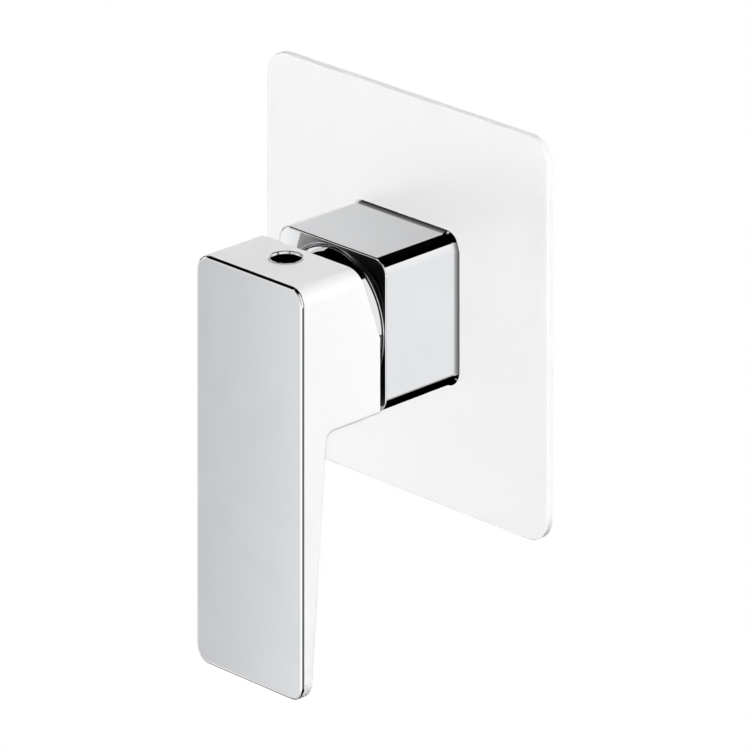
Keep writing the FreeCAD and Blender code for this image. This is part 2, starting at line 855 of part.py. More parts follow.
def make_lever_blank():
    """Side outline of the lever padded to its width, with its edges rounded."""
    body = new_body("lever_blank", "head_rear")
    side = new_sketch(body, "side", "YZ_Plane")
    draw_polygon(
        side,
        [
            ("head_top", "head_depth"),
            ("head_top", "slope_setback"),
            ("slope_start", "0"),
            ("-head_bottom", "0"),
            ("-head_bottom", "head_depth - blade_root"),
            ("lever_tip", "head_depth - blade_tip"),
            ("lever_tip", "head_depth"),
        ],
    )
    pad(body, side, "lever_width", "Symmetric")
    underside = value("-head_bottom")
    root = value("head_depth - blade_root")
    round_edges(
        body,
        "underside",
        "underside_round",
        lambda edge: lies_at(edge, root) and same(edge.BoundBox.YMax, underside),
    )
    top = value("head_top")
    tip = value("lever_tip")
    round_edges(
        body,
        "corners",
        "lever_corner",
        lambda edge: runs_forward(edge) and (same(edge.BoundBox.YMax, top) or same(edge.BoundBox.YMax, tip)),
    )
    front = value("head_depth")
    width = value("lever_width")

    def on_rear_rim(edge):
        box = edge.BoundBox
        below = box.YMax < underside or same(box.YMax, underside)
        behind = box.ZMax < front and not same(box.ZMax, front)
        crosses = box.XLength > width / 2
        return below and behind and (not crosses or same(box.YMax, tip))

    round_edges(body, "rear_rim", "lever_edge", on_rear_rim)
    return body


def make_lever_body():
    """Lever with a round hollow for the dome, a square socket for the spindle and a screw hole on top."""
    hollow = ball("lever_hollow", "dome_radius + dome_gap", "pivot")
    socket_side = "spindle_side + 2 * socket_play"
    socket_length = "spindle_front + socket_end_play - pivot"
    socket = block("lever_socket", socket_side, socket_side, socket_length, "pivot")
    thread = rod(
        "lever_thread",
        "screw_radius + thread_play",
        "bush_foot + overrun",
        "hole_station",
        turn=UP,
    )
    seat = rod(
        "lever_bush_seat",
        "bush_radius + bush_play",
        "bush_length + overrun",
        "hole_station",
        up="bush_foot",
        turn=UP,
    )
    return cut("lever_body", make_lever_blank(), hollow, socket, thread, seat)


def make_lever_face():
    """Thin plate on the lever's front with the lever's own outline and a rounded front edge."""
    body = new_body("lever_face", "lever_front")
    outline = new_sketch(body, "outline")
    draw_rectangle(outline, "lever_width", "lever_length", "head_top - lever_length / 2")
    pad(body, outline, "face_thick")
    round_edges(body, "corners", "lever_corner", runs_forward)
    front = value("face_thick")
    round_edges(body, "front_edge", "face_edge", lambda edge: lies_at(edge, front))
    return body


def make_hole_bush():
    """Ring that lines the hole on top of the head, bevelled inside at its mouth."""
    bore = "bush_radius - bush_wall"
    return turned_body(
        "hole_bush",
        "hole_station",
        [
            (bore, "0"),
            ("bush_radius", "0"),
            ("bush_radius", "bush_length + bush_proud"),
            (f"{bore} + bush_bevel", "bush_length + bush_proud"),
            (bore, "bush_length + bush_proud - bush_bevel"),
        ],
        turn=UP,
        up="bush_foot",
    )


def make_grub_screw():
    """Set screw with a hexagon socket, standing on the spindle."""
    shank = rod("screw_shank", "screw_radius", "screw_length", "hole_station", up="screw_foot", turn=UP)
    key = doc.addObject("Part::Prism", "screw_key_hole")
    key.Polygon = 6
    bind(key, "Circumradius", "screw_key")
    bind(key, "Height", "screw_key_depth + overrun")
    place(key, "hole_station", up="screw_foot + screw_length - screw_key_depth", turn=UP)
    return cut("grub_screw", shank, key)


# Brass body in the wall and the plate that fixes it


def make_boss(name, across, up, turn):
    """Makes one pipe boss and the thread and passage that go into it, as a pair of shapes."""
    boss = rod(f"{name}_boss", "boss_radius", "boss_reach", "-port_depth", turn=turn)
    sides = {"across": across, "up": up}
    thread_start = {key: f"({sign}) * (boss_reach - thread_length)" for key, sign in sides.items()}
    thread = rod(
        f"{name}_thread",
        "thread_radius",
        "thread_length + overrun",
        "-port_depth",
        turn=turn,
        **thread_start,
    )
    end = "port_across + port_radius / 4" if up == "0" else "passage_end"
    passage_start = {key: f"({sign}) * ({end})" for key, sign in sides.items()}
    passage = rod(
        f"{name}_passage",
        "passage_radius",
        f"boss_reach - thread_length - ({end}) + overrun",
        "-port_depth",
        turn=turn,
        **passage_start,
    )
    return boss, thread, passage


def make_fixing_plate():
    """Square plate behind the block with four screw holes."""
    body = new_body("fixing_plate", "block_rear - fixing_thick")
    outline = new_sketch(body, "outline")
    draw_rectangle(outline, "fixing_side", "fixing_side")
    pad(body, outline, "fixing_thick")
    round_edges(body, "corners", "fixing_corner", runs_forward)
    holes = new_sketch(body, "holes", ahead="fixing_thick")
    for across in ("-fixing_spacing / 2", "fixing_spacing / 2"):
        for up in ("-fixing_spacing / 2", "fixing_spacing / 2"):
            draw_circle(holes, "fixing_hole_radius", across, up)
    pocket(body, holes, "fixing_thick")
    return body


def make_valve_body():
    """Brass body: a neck with the cartridge chamber and a block with three pipe bosses."""
    neck = rod("neck", "neck_radius", "neck_front + wall_cover", "-wall_cover")
    core = rod("block_core", "block_radius", "block_depth", "block_rear")
    left = Rotation(Vector(0, 1, 0), -90)
    bosses = [
        make_boss("hot", "-1", "0", left),
        make_boss("cold", "1", "0", RIGHT),
        make_boss("outlet", "0", "1", UP),
    ]
    chamber = rod(
        "chamber",
        "housing_radius + housing_play",
        "neck_front - chamber_floor",
        "chamber_floor",
    )
    mouth_floor = "shoulder - nut_relief"
    mouth = rod("neck_mouth", "skirt_bore", f"neck_front - ({mouth_floor}) + overrun", mouth_floor)
    ports = [
        rod(f"{name}_port", "port_radius", "chamber_floor + port_depth + overrun", "-port_depth", across, up)
        for name, across, up in PORTS
    ]
    groove_station = "guide_rear + guide_length / 2 - ring_groove / 2"
    groove = cut(
        "seal_groove",
        rod("groove_outside", "neck_radius + overrun", "ring_groove", groove_station),
        rod("groove_floor", "seal_groove_floor", "ring_groove", groove_station),
    )
    solid = fuse("valve_solid", neck, core, *[boss for boss, _, _ in bosses])
    hollows = [shape for _, thread, passage in bosses for shape in (thread, passage)]
    return cut("valve_body", solid, chamber, mouth, groove, *ports, *hollows)


MAKERS = (
    make_wall_plate,
    make_plate_gasket,
    make_square_sleeve,
    make_sleeve_guide,
    make_sleeve_seal,
    make_dome_cap,
    make_retaining_nut,
    make_stop_ring,
    make_cartridge_housing,
    make_housing_seal,
    make_cartridge_rotor,
    make_pivot_pin,
    make_spindle,
    make_disc_carrier,
    make_moving_disc,
    make_fixed_disc,
    make_cartridge_base,
    make_base_seals,
    make_lever_body,
    make_lever_face,
    make_hole_bush,
    make_grub_screw,
    make_valve_body,
    make_fixing_plate,
)

nodes = [make() for make in MAKERS]
doc.recompute()

for thing in doc.Objects:
    if "Invalid" in thing.State or "Error" in thing.State:
        raise RuntimeError(f"{thing.Label} did not build: {thing.State}")
for node in nodes:
    if node.Shape.isNull() or not node.Shape.isValid():
        raise RuntimeError(f"{node.Label} has no valid shape")

os.makedirs("parts", exist_ok=True)
for node in nodes:
    node.Shape.exportStep(f"parts/{node.Label}.step")
    print(f"{node.Label}: {len(node.Shape.Solids)} solid, {node.Shape.Volume:.1f} cubic mm")
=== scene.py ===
import json
import logging
import math
from dataclasses import dataclass
from enum import Enum

import bmesh
import bpy
import numpy as np
from mathutils import Matrix, Vector


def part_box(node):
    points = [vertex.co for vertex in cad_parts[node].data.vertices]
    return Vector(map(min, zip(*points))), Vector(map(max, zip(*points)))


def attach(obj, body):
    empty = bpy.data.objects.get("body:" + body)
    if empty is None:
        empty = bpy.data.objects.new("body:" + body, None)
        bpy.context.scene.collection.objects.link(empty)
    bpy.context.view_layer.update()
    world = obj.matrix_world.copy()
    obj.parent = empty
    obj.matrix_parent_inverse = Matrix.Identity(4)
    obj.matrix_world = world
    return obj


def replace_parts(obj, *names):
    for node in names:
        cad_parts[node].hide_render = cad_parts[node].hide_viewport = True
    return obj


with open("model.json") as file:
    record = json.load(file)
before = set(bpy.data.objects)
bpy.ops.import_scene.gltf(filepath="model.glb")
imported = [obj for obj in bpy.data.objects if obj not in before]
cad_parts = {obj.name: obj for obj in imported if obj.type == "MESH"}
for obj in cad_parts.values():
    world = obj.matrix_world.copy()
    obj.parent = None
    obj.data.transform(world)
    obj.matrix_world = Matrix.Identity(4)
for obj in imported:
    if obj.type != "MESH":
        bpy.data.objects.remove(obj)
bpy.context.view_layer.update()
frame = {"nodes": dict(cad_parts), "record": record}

# Looks of the concealed shower mixer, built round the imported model. The wall plane is Y = 0, the mixer's
# axis is the Y axis, the user stands on the -Y side and +Z is up. The scene's lengths are in metres. The
# sizes of the new pieces are in millimetres.

MM = 0.001
LOG = logging.getLogger("shower_mixer")

Pair = tuple[float, float]
Triple = tuple[float, float, float]
Stops = tuple[Pair, ...]
Faces = list[list[int]]
Sources = dict[str | int, object]
Array = np.ndarray
Piece = bpy.types.Object
Material = bpy.types.Material
Socket = bpy.types.NodeSocket

EVEN = (1.0, 1.0, 1.0)
WHITE = (1.0, 1.0, 1.0, 1.0)
WHOLE = (0.0, 1.0)
PATTERN_MIDDLE = (0.3, 0.7)
FULL_TURN = 2.0 * math.pi
RANGE_INPUTS = ("Value", "From Min", "From Max", "To Min", "To Max")


class Body(Enum):
    """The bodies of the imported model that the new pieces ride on."""

    FIXED = "fixed"
    LEVER = "lever"


class Slot(Enum):
    """The material slots of the record."""

    WHITE_LACQUER = "white_lacquer"
    CHROME = "chrome"
    BRASS = "brass"
    STEEL = "steel"
    GREY_PLASTIC = "grey_plastic"
    WHITE_PLASTIC = "white_plastic"
    RED_PLASTIC = "red_plastic"
    CERAMIC = "ceramic"
    SEAL_RUBBER = "seal_rubber"
    FOAM = "foam"


class Along(Enum):
    """The way in which a studio card's light changes."""

    ACROSS = 0
    UP = 1


# Node trees


class Shader:
    """A node tree that is filled step by step. A source is an output to link or a value to set."""

    def __init__(self, tree: bpy.types.NodeTree) -> None:
        """Empties the tree of a material, a lamp or the world."""
        self.tree = tree
        self.tree.nodes.clear()

    def node(self, kind: str, sources: Sources | None = None, **settings: object) -> bpy.types.Node:
        """Adds a node.

        Args:
            kind: the node's type name without its ShaderNode prefix.
            sources: what goes into its inputs, by their names or numbers.
            settings: attributes of the node.

        Returns:
            The new node.
        """
        made = self.tree.nodes.new(f"ShaderNode{kind}")
        for name, setting in settings.items():
            setattr(made, name, setting)
        for name, source in (sources or {}).items():
            if isinstance(source, Socket):
                self.tree.links.new(source, made.inputs[name])
            else:
                made.inputs[name].default_value = source
        return made

    def place(self, stretch: Triple = EVEN) -> Socket:
        """Reads the Object coordinates, with each axis stretched."""
        coordinates = self.node("TexCoord").outputs["Object"]
        return self.node("Mapping", {"Scale": stretch, "Vector": coordinates}).outputs["Vector"]

    def axis(self, name: str) -> Socket:
        """Reads one of the Object coordinates."""
        return self.node("SeparateXYZ", {"Vector": self.place()}).outputs[name]

    def noise(self, scale: float, detail: float, stretch: Triple = EVEN) -> Socket:
        """Adds a noise pattern with a number of waves to the metre and of finer octaves."""
        sources = {"Scale": scale, "Detail": detail, "Vector": self.place(stretch)}
        return self.node("TexNoise", sources).outputs["Fac"]

    def ranged(self, source: Socket, old: Pair, new: Pair, **settings: object) -> Socket:
        """Maps a value from an old range to a new one."""
        sources = dict(zip(RANGE_INPUTS, (source, *old, *new)))
        return self.node("MapRange", sources, **settings).outputs["Result"]

    def fade(self, source: Socket, between: Pair) -> Socket:
        """Rises smoothly from 0 to 1 between two values of a source."""
        return self.ranged(source, between, WHOLE, interpolation_type="SMOOTHSTEP")

    def tones(self, source: Socket, between: Pair, dark: Triple, light: Triple) -> Socket:
        """Turns a value into a colour.

        Args:
            source: the value.
            between: the values at which the dark and the light tone are reached.
            dark: the tone at the lower value.
            light: the tone at the higher value.

        Returns:
            The output with the colour.
        """
        ramp = self.node("ValToRGB", {"Fac": source})
        for element, position, colour in zip(ramp.color_ramp.elements, between, (dark, light)):
            element.position = position
            element.color = (*colour, 1.0)
        return ramp.outputs["Color"]

    def bump(self, height: Socket, strength: float, distance: float) -> Socket:
        """Turns a height pattern into a surface direction, by how much shows and how high it stands."""
        sources = {"Strength": strength, "Distance": distance, "Height": height}
        return self.node("Bump", sources).outputs["Normal"]

    # The sockets of the next nodes share their names, so they go by number.

    def combine(self, operation: str, first: object, second: object) -> Socket:
        """Works out one value from two sources."""
        return self.node("Math", {0: first, 1: second}, operation=operation).outputs["Value"]

    def mix_values(self, share: Socket, first: object, second: object) -> Socket:
        """Mixes two values by the share of the second."""
        return self.node("Mix", {0: share, 2: first, 3: second}, data_type="FLOAT").outputs[0]

    def mix_colours(self, share: Socket, first: object, second: object) -> Socket:
        """Mixes two colours by the share of the second."""
        return self.node("Mix", {0: share, 6: first, 7: second}, data_type="RGBA").outputs[2]

    def mix_shaders(self, share: Socket, first: Socket, second: Socket) -> Socket:
        """Mixes two shaders by the share of the second."""
        return self.node("MixShader", {"Fac": share, 1: first, 2: second}).outputs["Shader"]


def new_material(name: str) -> tuple[Material, Shader]:
    """Starts a material.

    Args:
        name: the material's name.

    Returns:
        The material and its empty node tree.
    """
    material = bpy.data.materials.new(name)
    material.use_nodes = True
    return material, Shader(material.node_tree)


# Finishes


@dataclass(frozen=True)
class Finish:
    """A finish whose tone and roughness waver with a pattern, in a relief of its grain or of that pattern.

    Patterns are given by waves to the metre and octaves, a relief by its strength and height.
    """

    name: str
    light: Triple
    dark: Triple
    roughness: Pair = (0.405, 0.495)
    pattern: Pair = (80.0, 3.0)
    stretch: Triple = EVEN
    tone_range: Pair = PATTERN_MIDDLE
    grain: Pair | None = None
    relief: Pair | None = None
    metallic: float = 0.0
    coat: float = 0.0
    coat_roughness: float = 0.03

    def waver(self, shader: Shader) -> Socket:
        """Gives the pattern of tone and roughness."""
        return shader.noise(*self.pattern, self.stretch)

    def colour(self, shader: Shader, pattern: Socket) -> Socket:
        """Gives the colour that follows the pattern."""
        return shader.tones(pattern, self.tone_range, self.dark, self.light)

    def sheen(self, shader: Shader, pattern: Socket) -> Socket | float:
        """Gives the roughness that follows the pattern."""
        return shader.ranged(pattern, PATTERN_MIDDLE, self.roughness)

    def height(self, shader: Shader, pattern: Socket) -> Socket:
        """Gives what stands in relief."""
        return pattern if self.grain is None else shader.noise(*self.grain)

    def make(self) -> Material:
        """Builds the material.

        Returns:
            The material.
        """
        material, shader = new_material(self.name)
        pattern = self.waver(shader)
        sources = {
            "Base Color": self.colour(shader, pattern),
            "Roughness": self.sheen(shader, pattern),
            "Metallic": self.metallic,
            "Coat Weight": self.coat,
            "Coat Roughness": self.coat_roughness,
        }
        if self.relief is not None:
            sources["Normal"] = shader.bump(self.height(shader, pattern), *self.relief)
        surface = shader.node("BsdfPrincipled", sources)
        shader.node("OutputMaterial", {"Surface": surface.outputs["BSDF"]})
        return material


@dataclass(frozen=True)
class Lacquer(Finish):
    """Gloss lacquer: a clear coat with a faint ripple over a paint that varies a little.

    Where a shade tone is given, the rear face above a foot line is painted dark in that tone: painted shade
    for the shadowed rear of the head, which the chrome in front mirrors.
    The painted shade thins out towards the left into the paint, a painted light gradient.
    """

    roughness: Pair = (0.27, 0.33)
    pattern: Pair = (18.0, 2.0)
    tone_range: Pair = (0.35, 0.65)
    grain: Pair | None = (700.0, 1.0)
    relief: Pair | None = (0.25, 2.0e-6)
    coat: float = 0.6
    coat_roughness: float = 0.06
    # A dark tone painted as shade on the rear face, the facing and foot line that bound it, and its fade to
    # the left.
    painted_shade_tone: Triple | None = None
    rear_facing: Pair = (0.6, 0.85)
    painted_shade_foot: Pair = (-25.0 * MM, -23.0 * MM)
    painted_shade_falloff: Pair = (-19.0 * MM, -10.8 * MM)

    def colour(self, shader: Shader, pattern: Socket) -> Socket:
        """Gives the paint, and painted shade in a dark tone where it faces the rear.

        Args:
            shader: the material's node tree.
            pattern: the cloud in the paint.

        Returns:
            The output with the colour.
        """
        paint = super().colour(shader, pattern)
        if self.painted_shade_tone is None:
            return paint
        # Painted shade: rear-facing parts above the foot line turn dark, fading out to the left as a painted
        # light gradient.
        facing = {"Vector": shader.node("NewGeometry").outputs["Normal"]}
        ways = {"vector_type": "NORMAL", "convert_from": "WORLD", "convert_to": "OBJECT"}
        turned = shader.node("VectorTransform", facing, **ways).outputs["Vector"]
        rearward = shader.node("SeparateXYZ", {"Vector": turned}).outputs["Y"]
        rear = shader.fade(rearward, self.rear_facing)
        head = shader.combine("MULTIPLY", rear, shader.fade(shader.axis("Z"), self.painted_shade_foot))
        share = shader.combine("MULTIPLY", head, shader.fade(shader.axis("X"), self.painted_shade_falloff))
        return shader.mix_colours(share, paint, (*self.painted_shade_tone, 1.0))


@dataclass(frozen=True)
class Plating(Finish):
    """Mirror plating: bare metal with a haze so faint that only its roughness and tint waver.

    Where a height is given, the part below it is painted in a dark tone: painted shade, as in the depth of a
    bore.
    """

    roughness: Pair = (0.025, 0.05)
    pattern: Pair = (60.0, 3.0)
    metallic: float = 1.0
    # A dark tone painted as shade below a height, and how softly it sets in.
    painted_shade_tone: Triple = (0.012, 0.012, 0.012)
    painted_shade_below: float | None = None
    painted_shade_fade: float = 0.15 * MM

    def colour(self, shader: Shader, pattern: Socket) -> Socket:
        """Gives the plating's tint, and painted shade in a dark tone below the given height.

        Args:
            shader: the material's node tree.
            pattern: the haze.

        Returns:
            The output with the colour.
        """
        metal = super().colour(shader, pattern)
        if self.painted_shade_below is None:
            return metal
        # Painted shade: below the height the tint turns dark.
        unshaded_share = shader.fade(shader.axis("Z"), (self.painted_shade_below - self.painted_shade_fade, self.painted_shade_below))
        return shader.mix_colours(unshaded_share, (*self.painted_shade_tone, 1.0), metal)


@dataclass(frozen=True)
class Casting(Finish):
    """Cast metal: a grainy skin with tarnish, and turned rings where it was machined in front."""

    roughness: Pair = (0.22, 0.46)
    pattern: Pair = (45.0, 5.0)
    tone_range: Pair = (0.32, 0.62)
    grain: Pair | None = (650.0, 3.0)
    relief: Pair | None = (0.5, 60.0e-6)
    metallic: float = 1.0
    ring_scale: float = 1000.0 / 3.0
    machined_front: Pair = (5.0 * MM, 6.0 * MM)

    def skin(self, shader: Shader) -> Socket:
        """Gives 0 where the metal was machined and 1 where it is as cast."""
        return shader.fade(shader.axis("Y"), self.machined_front)

    def sheen(self, shader: Shader, pattern: Socket) -> Socket:
        """Gives the roughness, less where the metal was machined."""
        return shader.ranged(self.skin(shader), WHOLE, self.roughness)

    def height(self, shader: Shader, pattern: Socket) -> Socket:
        """Gives the rings of the machined part and the grain of the rest.

        Args:
            shader: the material's node tree.
            pattern: the tarnish.

        Returns:
            The output with the height.
        """
        waves = {"Scale": self.ring_scale, "Vector": shader.place()}
        rings = shader.node("TexWave", waves, wave_type="BANDS", bands_direction="Y").outputs["Fac"]
        return shader.mix_values(self.skin(shader), rings, super().height(shader, pattern))


@dataclass(frozen=True)
class Turned(Finish):
    """Turned or rolled metal: fine lines drawn out along one axis."""

    roughness: Pair = (0.272, 0.384)
    pattern: Pair = (2200.0, 3.0)
    stretch: Triple = (1.0, 1.0, 0.03)
    relief: Pair | None = (0.3, 8.0e-6)
    metallic: float = 1.0


@dataclass(frozen=True)
class Moulding(Finish):
    """Moulded plastic, ceramic or rubber: a fine grain with a slight cloud in its colour."""

    grain: Pair | None = (1500.0, 2.0)
    relief: Pair | None = (0.4, 15.0e-6)


@dataclass(frozen=True)
class CellFoam(Finish):
    """Closed-cell foam: rounded cells side by side, with painted shade that darkens the seams between them.
    """

    # The tone ramp paints shade into the seams: dark at a seam, light a little way into a cell.
    tone_range: Pair = (0.0, 0.25)
    relief: Pair | None = (0.8, 0.12 * MM)
    cell_scale: float = 1600.0
    matt: float = 0.9

    def waver(self, shader: Shader) -> Socket:
        """Gives the distance to the nearest seam between cells."""
        sources = {"Scale": self.cell_scale, "Vector": shader.place()}
        return shader.node("TexVoronoi", sources, feature="DISTANCE_TO_EDGE").outputs["Distance"]

    def sheen(self, shader: Shader, pattern: Socket) -> float:
        """Gives a roughness that is the same all over."""
        return self.matt


CHROME_TONES = ((0.575, 0.58, 0.59), (0.555, 0.56, 0.57))
CERAMIC_TONES = ((0.80, 0.76, 0.68), (0.76, 0.72, 0.64))
# The lever's tones are a little darker than the plate's white lacquer: painted shade, a shaded copy of the
# same lacquer that holds back the extra light its side gets.
LEVER_SHADED_TONES = ((0.80, 0.80, 0.805), (0.785, 0.785, 0.79))

FINISHES = {
    Slot.WHITE_LACQUER: Lacquer("white_lacquer", (0.825, 0.825, 0.83), (0.81, 0.81, 0.815)),
    Slot.CHROME: Plating("mirror_chrome", *CHROME_TONES),
    Slot.BRASS: Casting("cast_brass", (0.60, 0.42, 0.17), (0.42, 0.27, 0.10)),
    Slot.STEEL: Turned("rolled_steel", (0.50, 0.51, 0.53), (0.38, 0.39, 0.41)),
    Slot.GREY_PLASTIC: Moulding("grey_acetal", (0.17, 0.175, 0.19), (0.145, 0.15, 0.16), (0.45, 0.55)),
    Slot.WHITE_PLASTIC: Moulding("white_acetal", (0.72, 0.72, 0.69), (0.66, 0.66, 0.63)),
    Slot.RED_PLASTIC: Moulding("red_acetal", (0.36, 0.02, 0.015), (0.28, 0.014, 0.012)),
    Slot.CERAMIC: Moulding(
        "lapped_ceramic", *CERAMIC_TONES, (0.18, 0.22), grain=(3000.0, 2.0), relief=(0.4, 2.0e-6)
    ),
    Slot.SEAL_RUBBER: Moulding("seal_rubber", (0.014, 0.014, 0.015), (0.009, 0.009, 0.01), (0.54, 0.66)),
    Slot.FOAM: CellFoam("closed_cell_foam", (0.045, 0.046, 0.05), (0.012, 0.012, 0.013)),
}
# The lever's lacquer carries painted shade twice: darker tones than the plate's, and a dark rear face.
LEVER_LACQUER_WITH_PAINTED_SHADE = Lacquer("lever_lacquer_with_painted_shade", *LEVER_SHADED_TONES, painted_shade_tone=(0.012, 0.012, 0.013))
# The ring's bore is painted dark below 22.6 mm: painted shade in the hole.
RING_PLATING_WITH_PAINTED_SHADE = Plating("ring_chrome_painted_shade", *CHROME_TONES, painted_shade_below=22.6 * MM)


class Finisher:
    """Makes each finish once and dresses pieces with it."""

    def __init__(self) -> None:
        """Makes the materials of all slots, of the lever with its painted shade and of the hole's ring with
        its painted shade.
        """
        self.materials = {slot: finish.make() for slot, finish in FINISHES.items()}
        self.lever_lacquer_with_painted_shade = LEVER_LACQUER_WITH_PAINTED_SHADE.make()
        self.ring_plating_with_painted_shade = RING_PLATING_WITH_PAINTED_SHADE.make()

    def dress(self, piece: Piece, slot: Slot) -> None:
        """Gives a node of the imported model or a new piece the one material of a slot."""
        piece.data.materials.clear()
        piece.data.materials.append(self.materials[slot])

    def dress_nodes(self) -> None:
        """Dresses every node by its slot in the record, and the lever with its own lacquer, which carries
        painted shade.
        """
        for part in frame["record"]["subparts"]:
            self.dress(frame["nodes"][part["node"]], Slot(part["material_slot"]))
            LOG.info("node %s: %s", part["node"], part["material_slot"])
        frame["nodes"]["lever_body"].data.materials[0] = self.lever_lacquer_with_painted_shade


# Surfaces from arrays


def arc(start: float, end: float, count: int) -> Array:
    """Gives evenly spaced angles in radians between two angles in degrees, ends included."""
    return np.radians(np.linspace(start, end, count))


def grid_faces(rows: int, columns: int, close_rows: bool = False, close_columns: bool = False) -> Faces:
    """Numbers the four corners of each face of a grid whose points are stored row by row.

    Args:
        rows: number of rows.
        columns: number of points in a row.
        close_rows: whether the last row joins the first.
        close_columns: whether the last point of a row joins its first.

    Returns:
        The faces' corner numbers.
    """
    row = np.arange(rows if close_rows else rows - 1)[:, None, None]
    column = np.arange(columns if close_columns else columns - 1)[None, :, None]
    down = np.array([0, 0, 1, 1])
    right = np.array([0, 1, 1, 0])
    corners = (row + down) % rows * columns + (column + right) % columns
    return corners.reshape(-1, 4).tolist()


def capped_faces(rows: int, columns: int) -> Faces:
    """Numbers the faces of a tube whose rows run round it, with a face on each end."""
    ends = np.arange(rows * columns).reshape(rows, columns)[[0, -1]].tolist()
    return grid_faces(rows, columns, close_columns=True) + ends


def new_piece(
    name: str, points: Array, faces: Faces, sharp_angle: float = 30.0, closed: bool = False
) -> Piece:
    """Puts arrays into a mesh that sits at the origin.

    Args:
        name: the piece's name.
        points: an array that ends in three coordinates.
        faces: the faces' corner numbers.
        sharp_angle: edges that bend by more than this many degrees stay sharp.
        closed: whether the faces of a closed surface are turned outwards.

    Returns:
        The new object.
    """
    mesh = bpy.data.meshes.new(name)
    mesh.from_pydata(points.reshape(-1, 3).tolist(), [], faces)
    if closed:
        shell = bmesh.new()
        shell.from_mesh(mesh)
        bmesh.ops.recalc_face_normals(shell, faces=shell.faces)
        shell.to_mesh(mesh)
        shell.free()
    mesh.shade_smooth()
    mesh.set_sharp_from_angle(angle=math.radians(sharp_angle))
    piece = bpy.data.objects.new(name, mesh)
    bpy.context.scene.collection.objects.link(piece)
    return piece


def add_piece(finisher: Finisher, piece: Piece, body: Body, slot: Slot) -> Piece:
    """Dresses a new piece, lets it ride on a body and reports it.

    Args:
        finisher: gives the material.
        piece: the new piece.
        body: what it moves with.
        slot: the slot it takes its finish from.

    Returns:
        The piece.
    """
    finisher.dress(piece, slot)
    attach(piece, body.value)
    LOG.info("piece %s on %s: %s, %d faces", piece.name, body.value, slot.value, len(piece.data.polygons))
    return piece


# Where two offsets across an axis and a station along it point in the row frame, row by row.
UPRIGHT = np.eye(3)
FORWARD = np.array([[1.0, 0.0, 0.0], [0.0, 0.0, 1.0], [0.0, -1.0, 0.0]])
OUT = (1.0, 0.0)
IN = (-1.0, 0.0)
AHEAD = (0.0, 1.0)
BACK = (0.0, -1.0)


@dataclass
class Profile:
    """A closed outline of a section, in steps that keep their own surface directions.

    Each step runs from one place to the next. A place is an offset from the axis and a station along it,
    and so is a surface direction. A step has one where it starts and one where it ends. A round place takes
    its offset from the axis itself, any other from the square outline.
    """

    places: list[tuple[float, float, bool]]
    facing: list[tuple[Pair, Pair]]

    @classmethod
    def start(cls, offset: float, station: float, is_round: bool = True) -> "Profile":
        """Starts a profile at a place."""
        return cls([(offset, station, is_round)], [])

    def line(self, offset: float, station: float, facing: Pair, is_round: bool = True) -> None:
        """Adds a straight step up to a place, with the way in which its surface faces."""
        self.facing.append((facing, facing))
        self.places.append((offset, station, is_round))

    def bend(
        self,
        middle: Pair,
        radius: float,
        angles: Pair,
        is_round: bool = True,
        steps: int = 10,
        hollow: bool = False,
    ) -> None:
        """Adds a rounding in steps, from where the profile is.

        Args:
            middle: offset and station of the rounding's middle.
            radius: its radius.
            angles: angles in degrees at which it starts and ends, 0 outwards and 90 ahead.
            is_round: whether it is round about the axis.
            steps: number of steps.
            hollow: whether its surface faces its middle.
        """
        turn = arc(*angles, steps + 1)
        sign = -1.0 if hollow else 1.0
        facing = list(zip(sign * np.cos(turn), sign * np.sin(turn)))
        offsets = middle[0] + radius * np.cos(turn[1:])
        stations = middle[1] + radius * np.sin(turn[1:])
        self.facing.extend(zip(facing[:-1], facing[1:]))
        self.places.extend((offset, station, is_round) for offset, station in zip(offsets, stations))


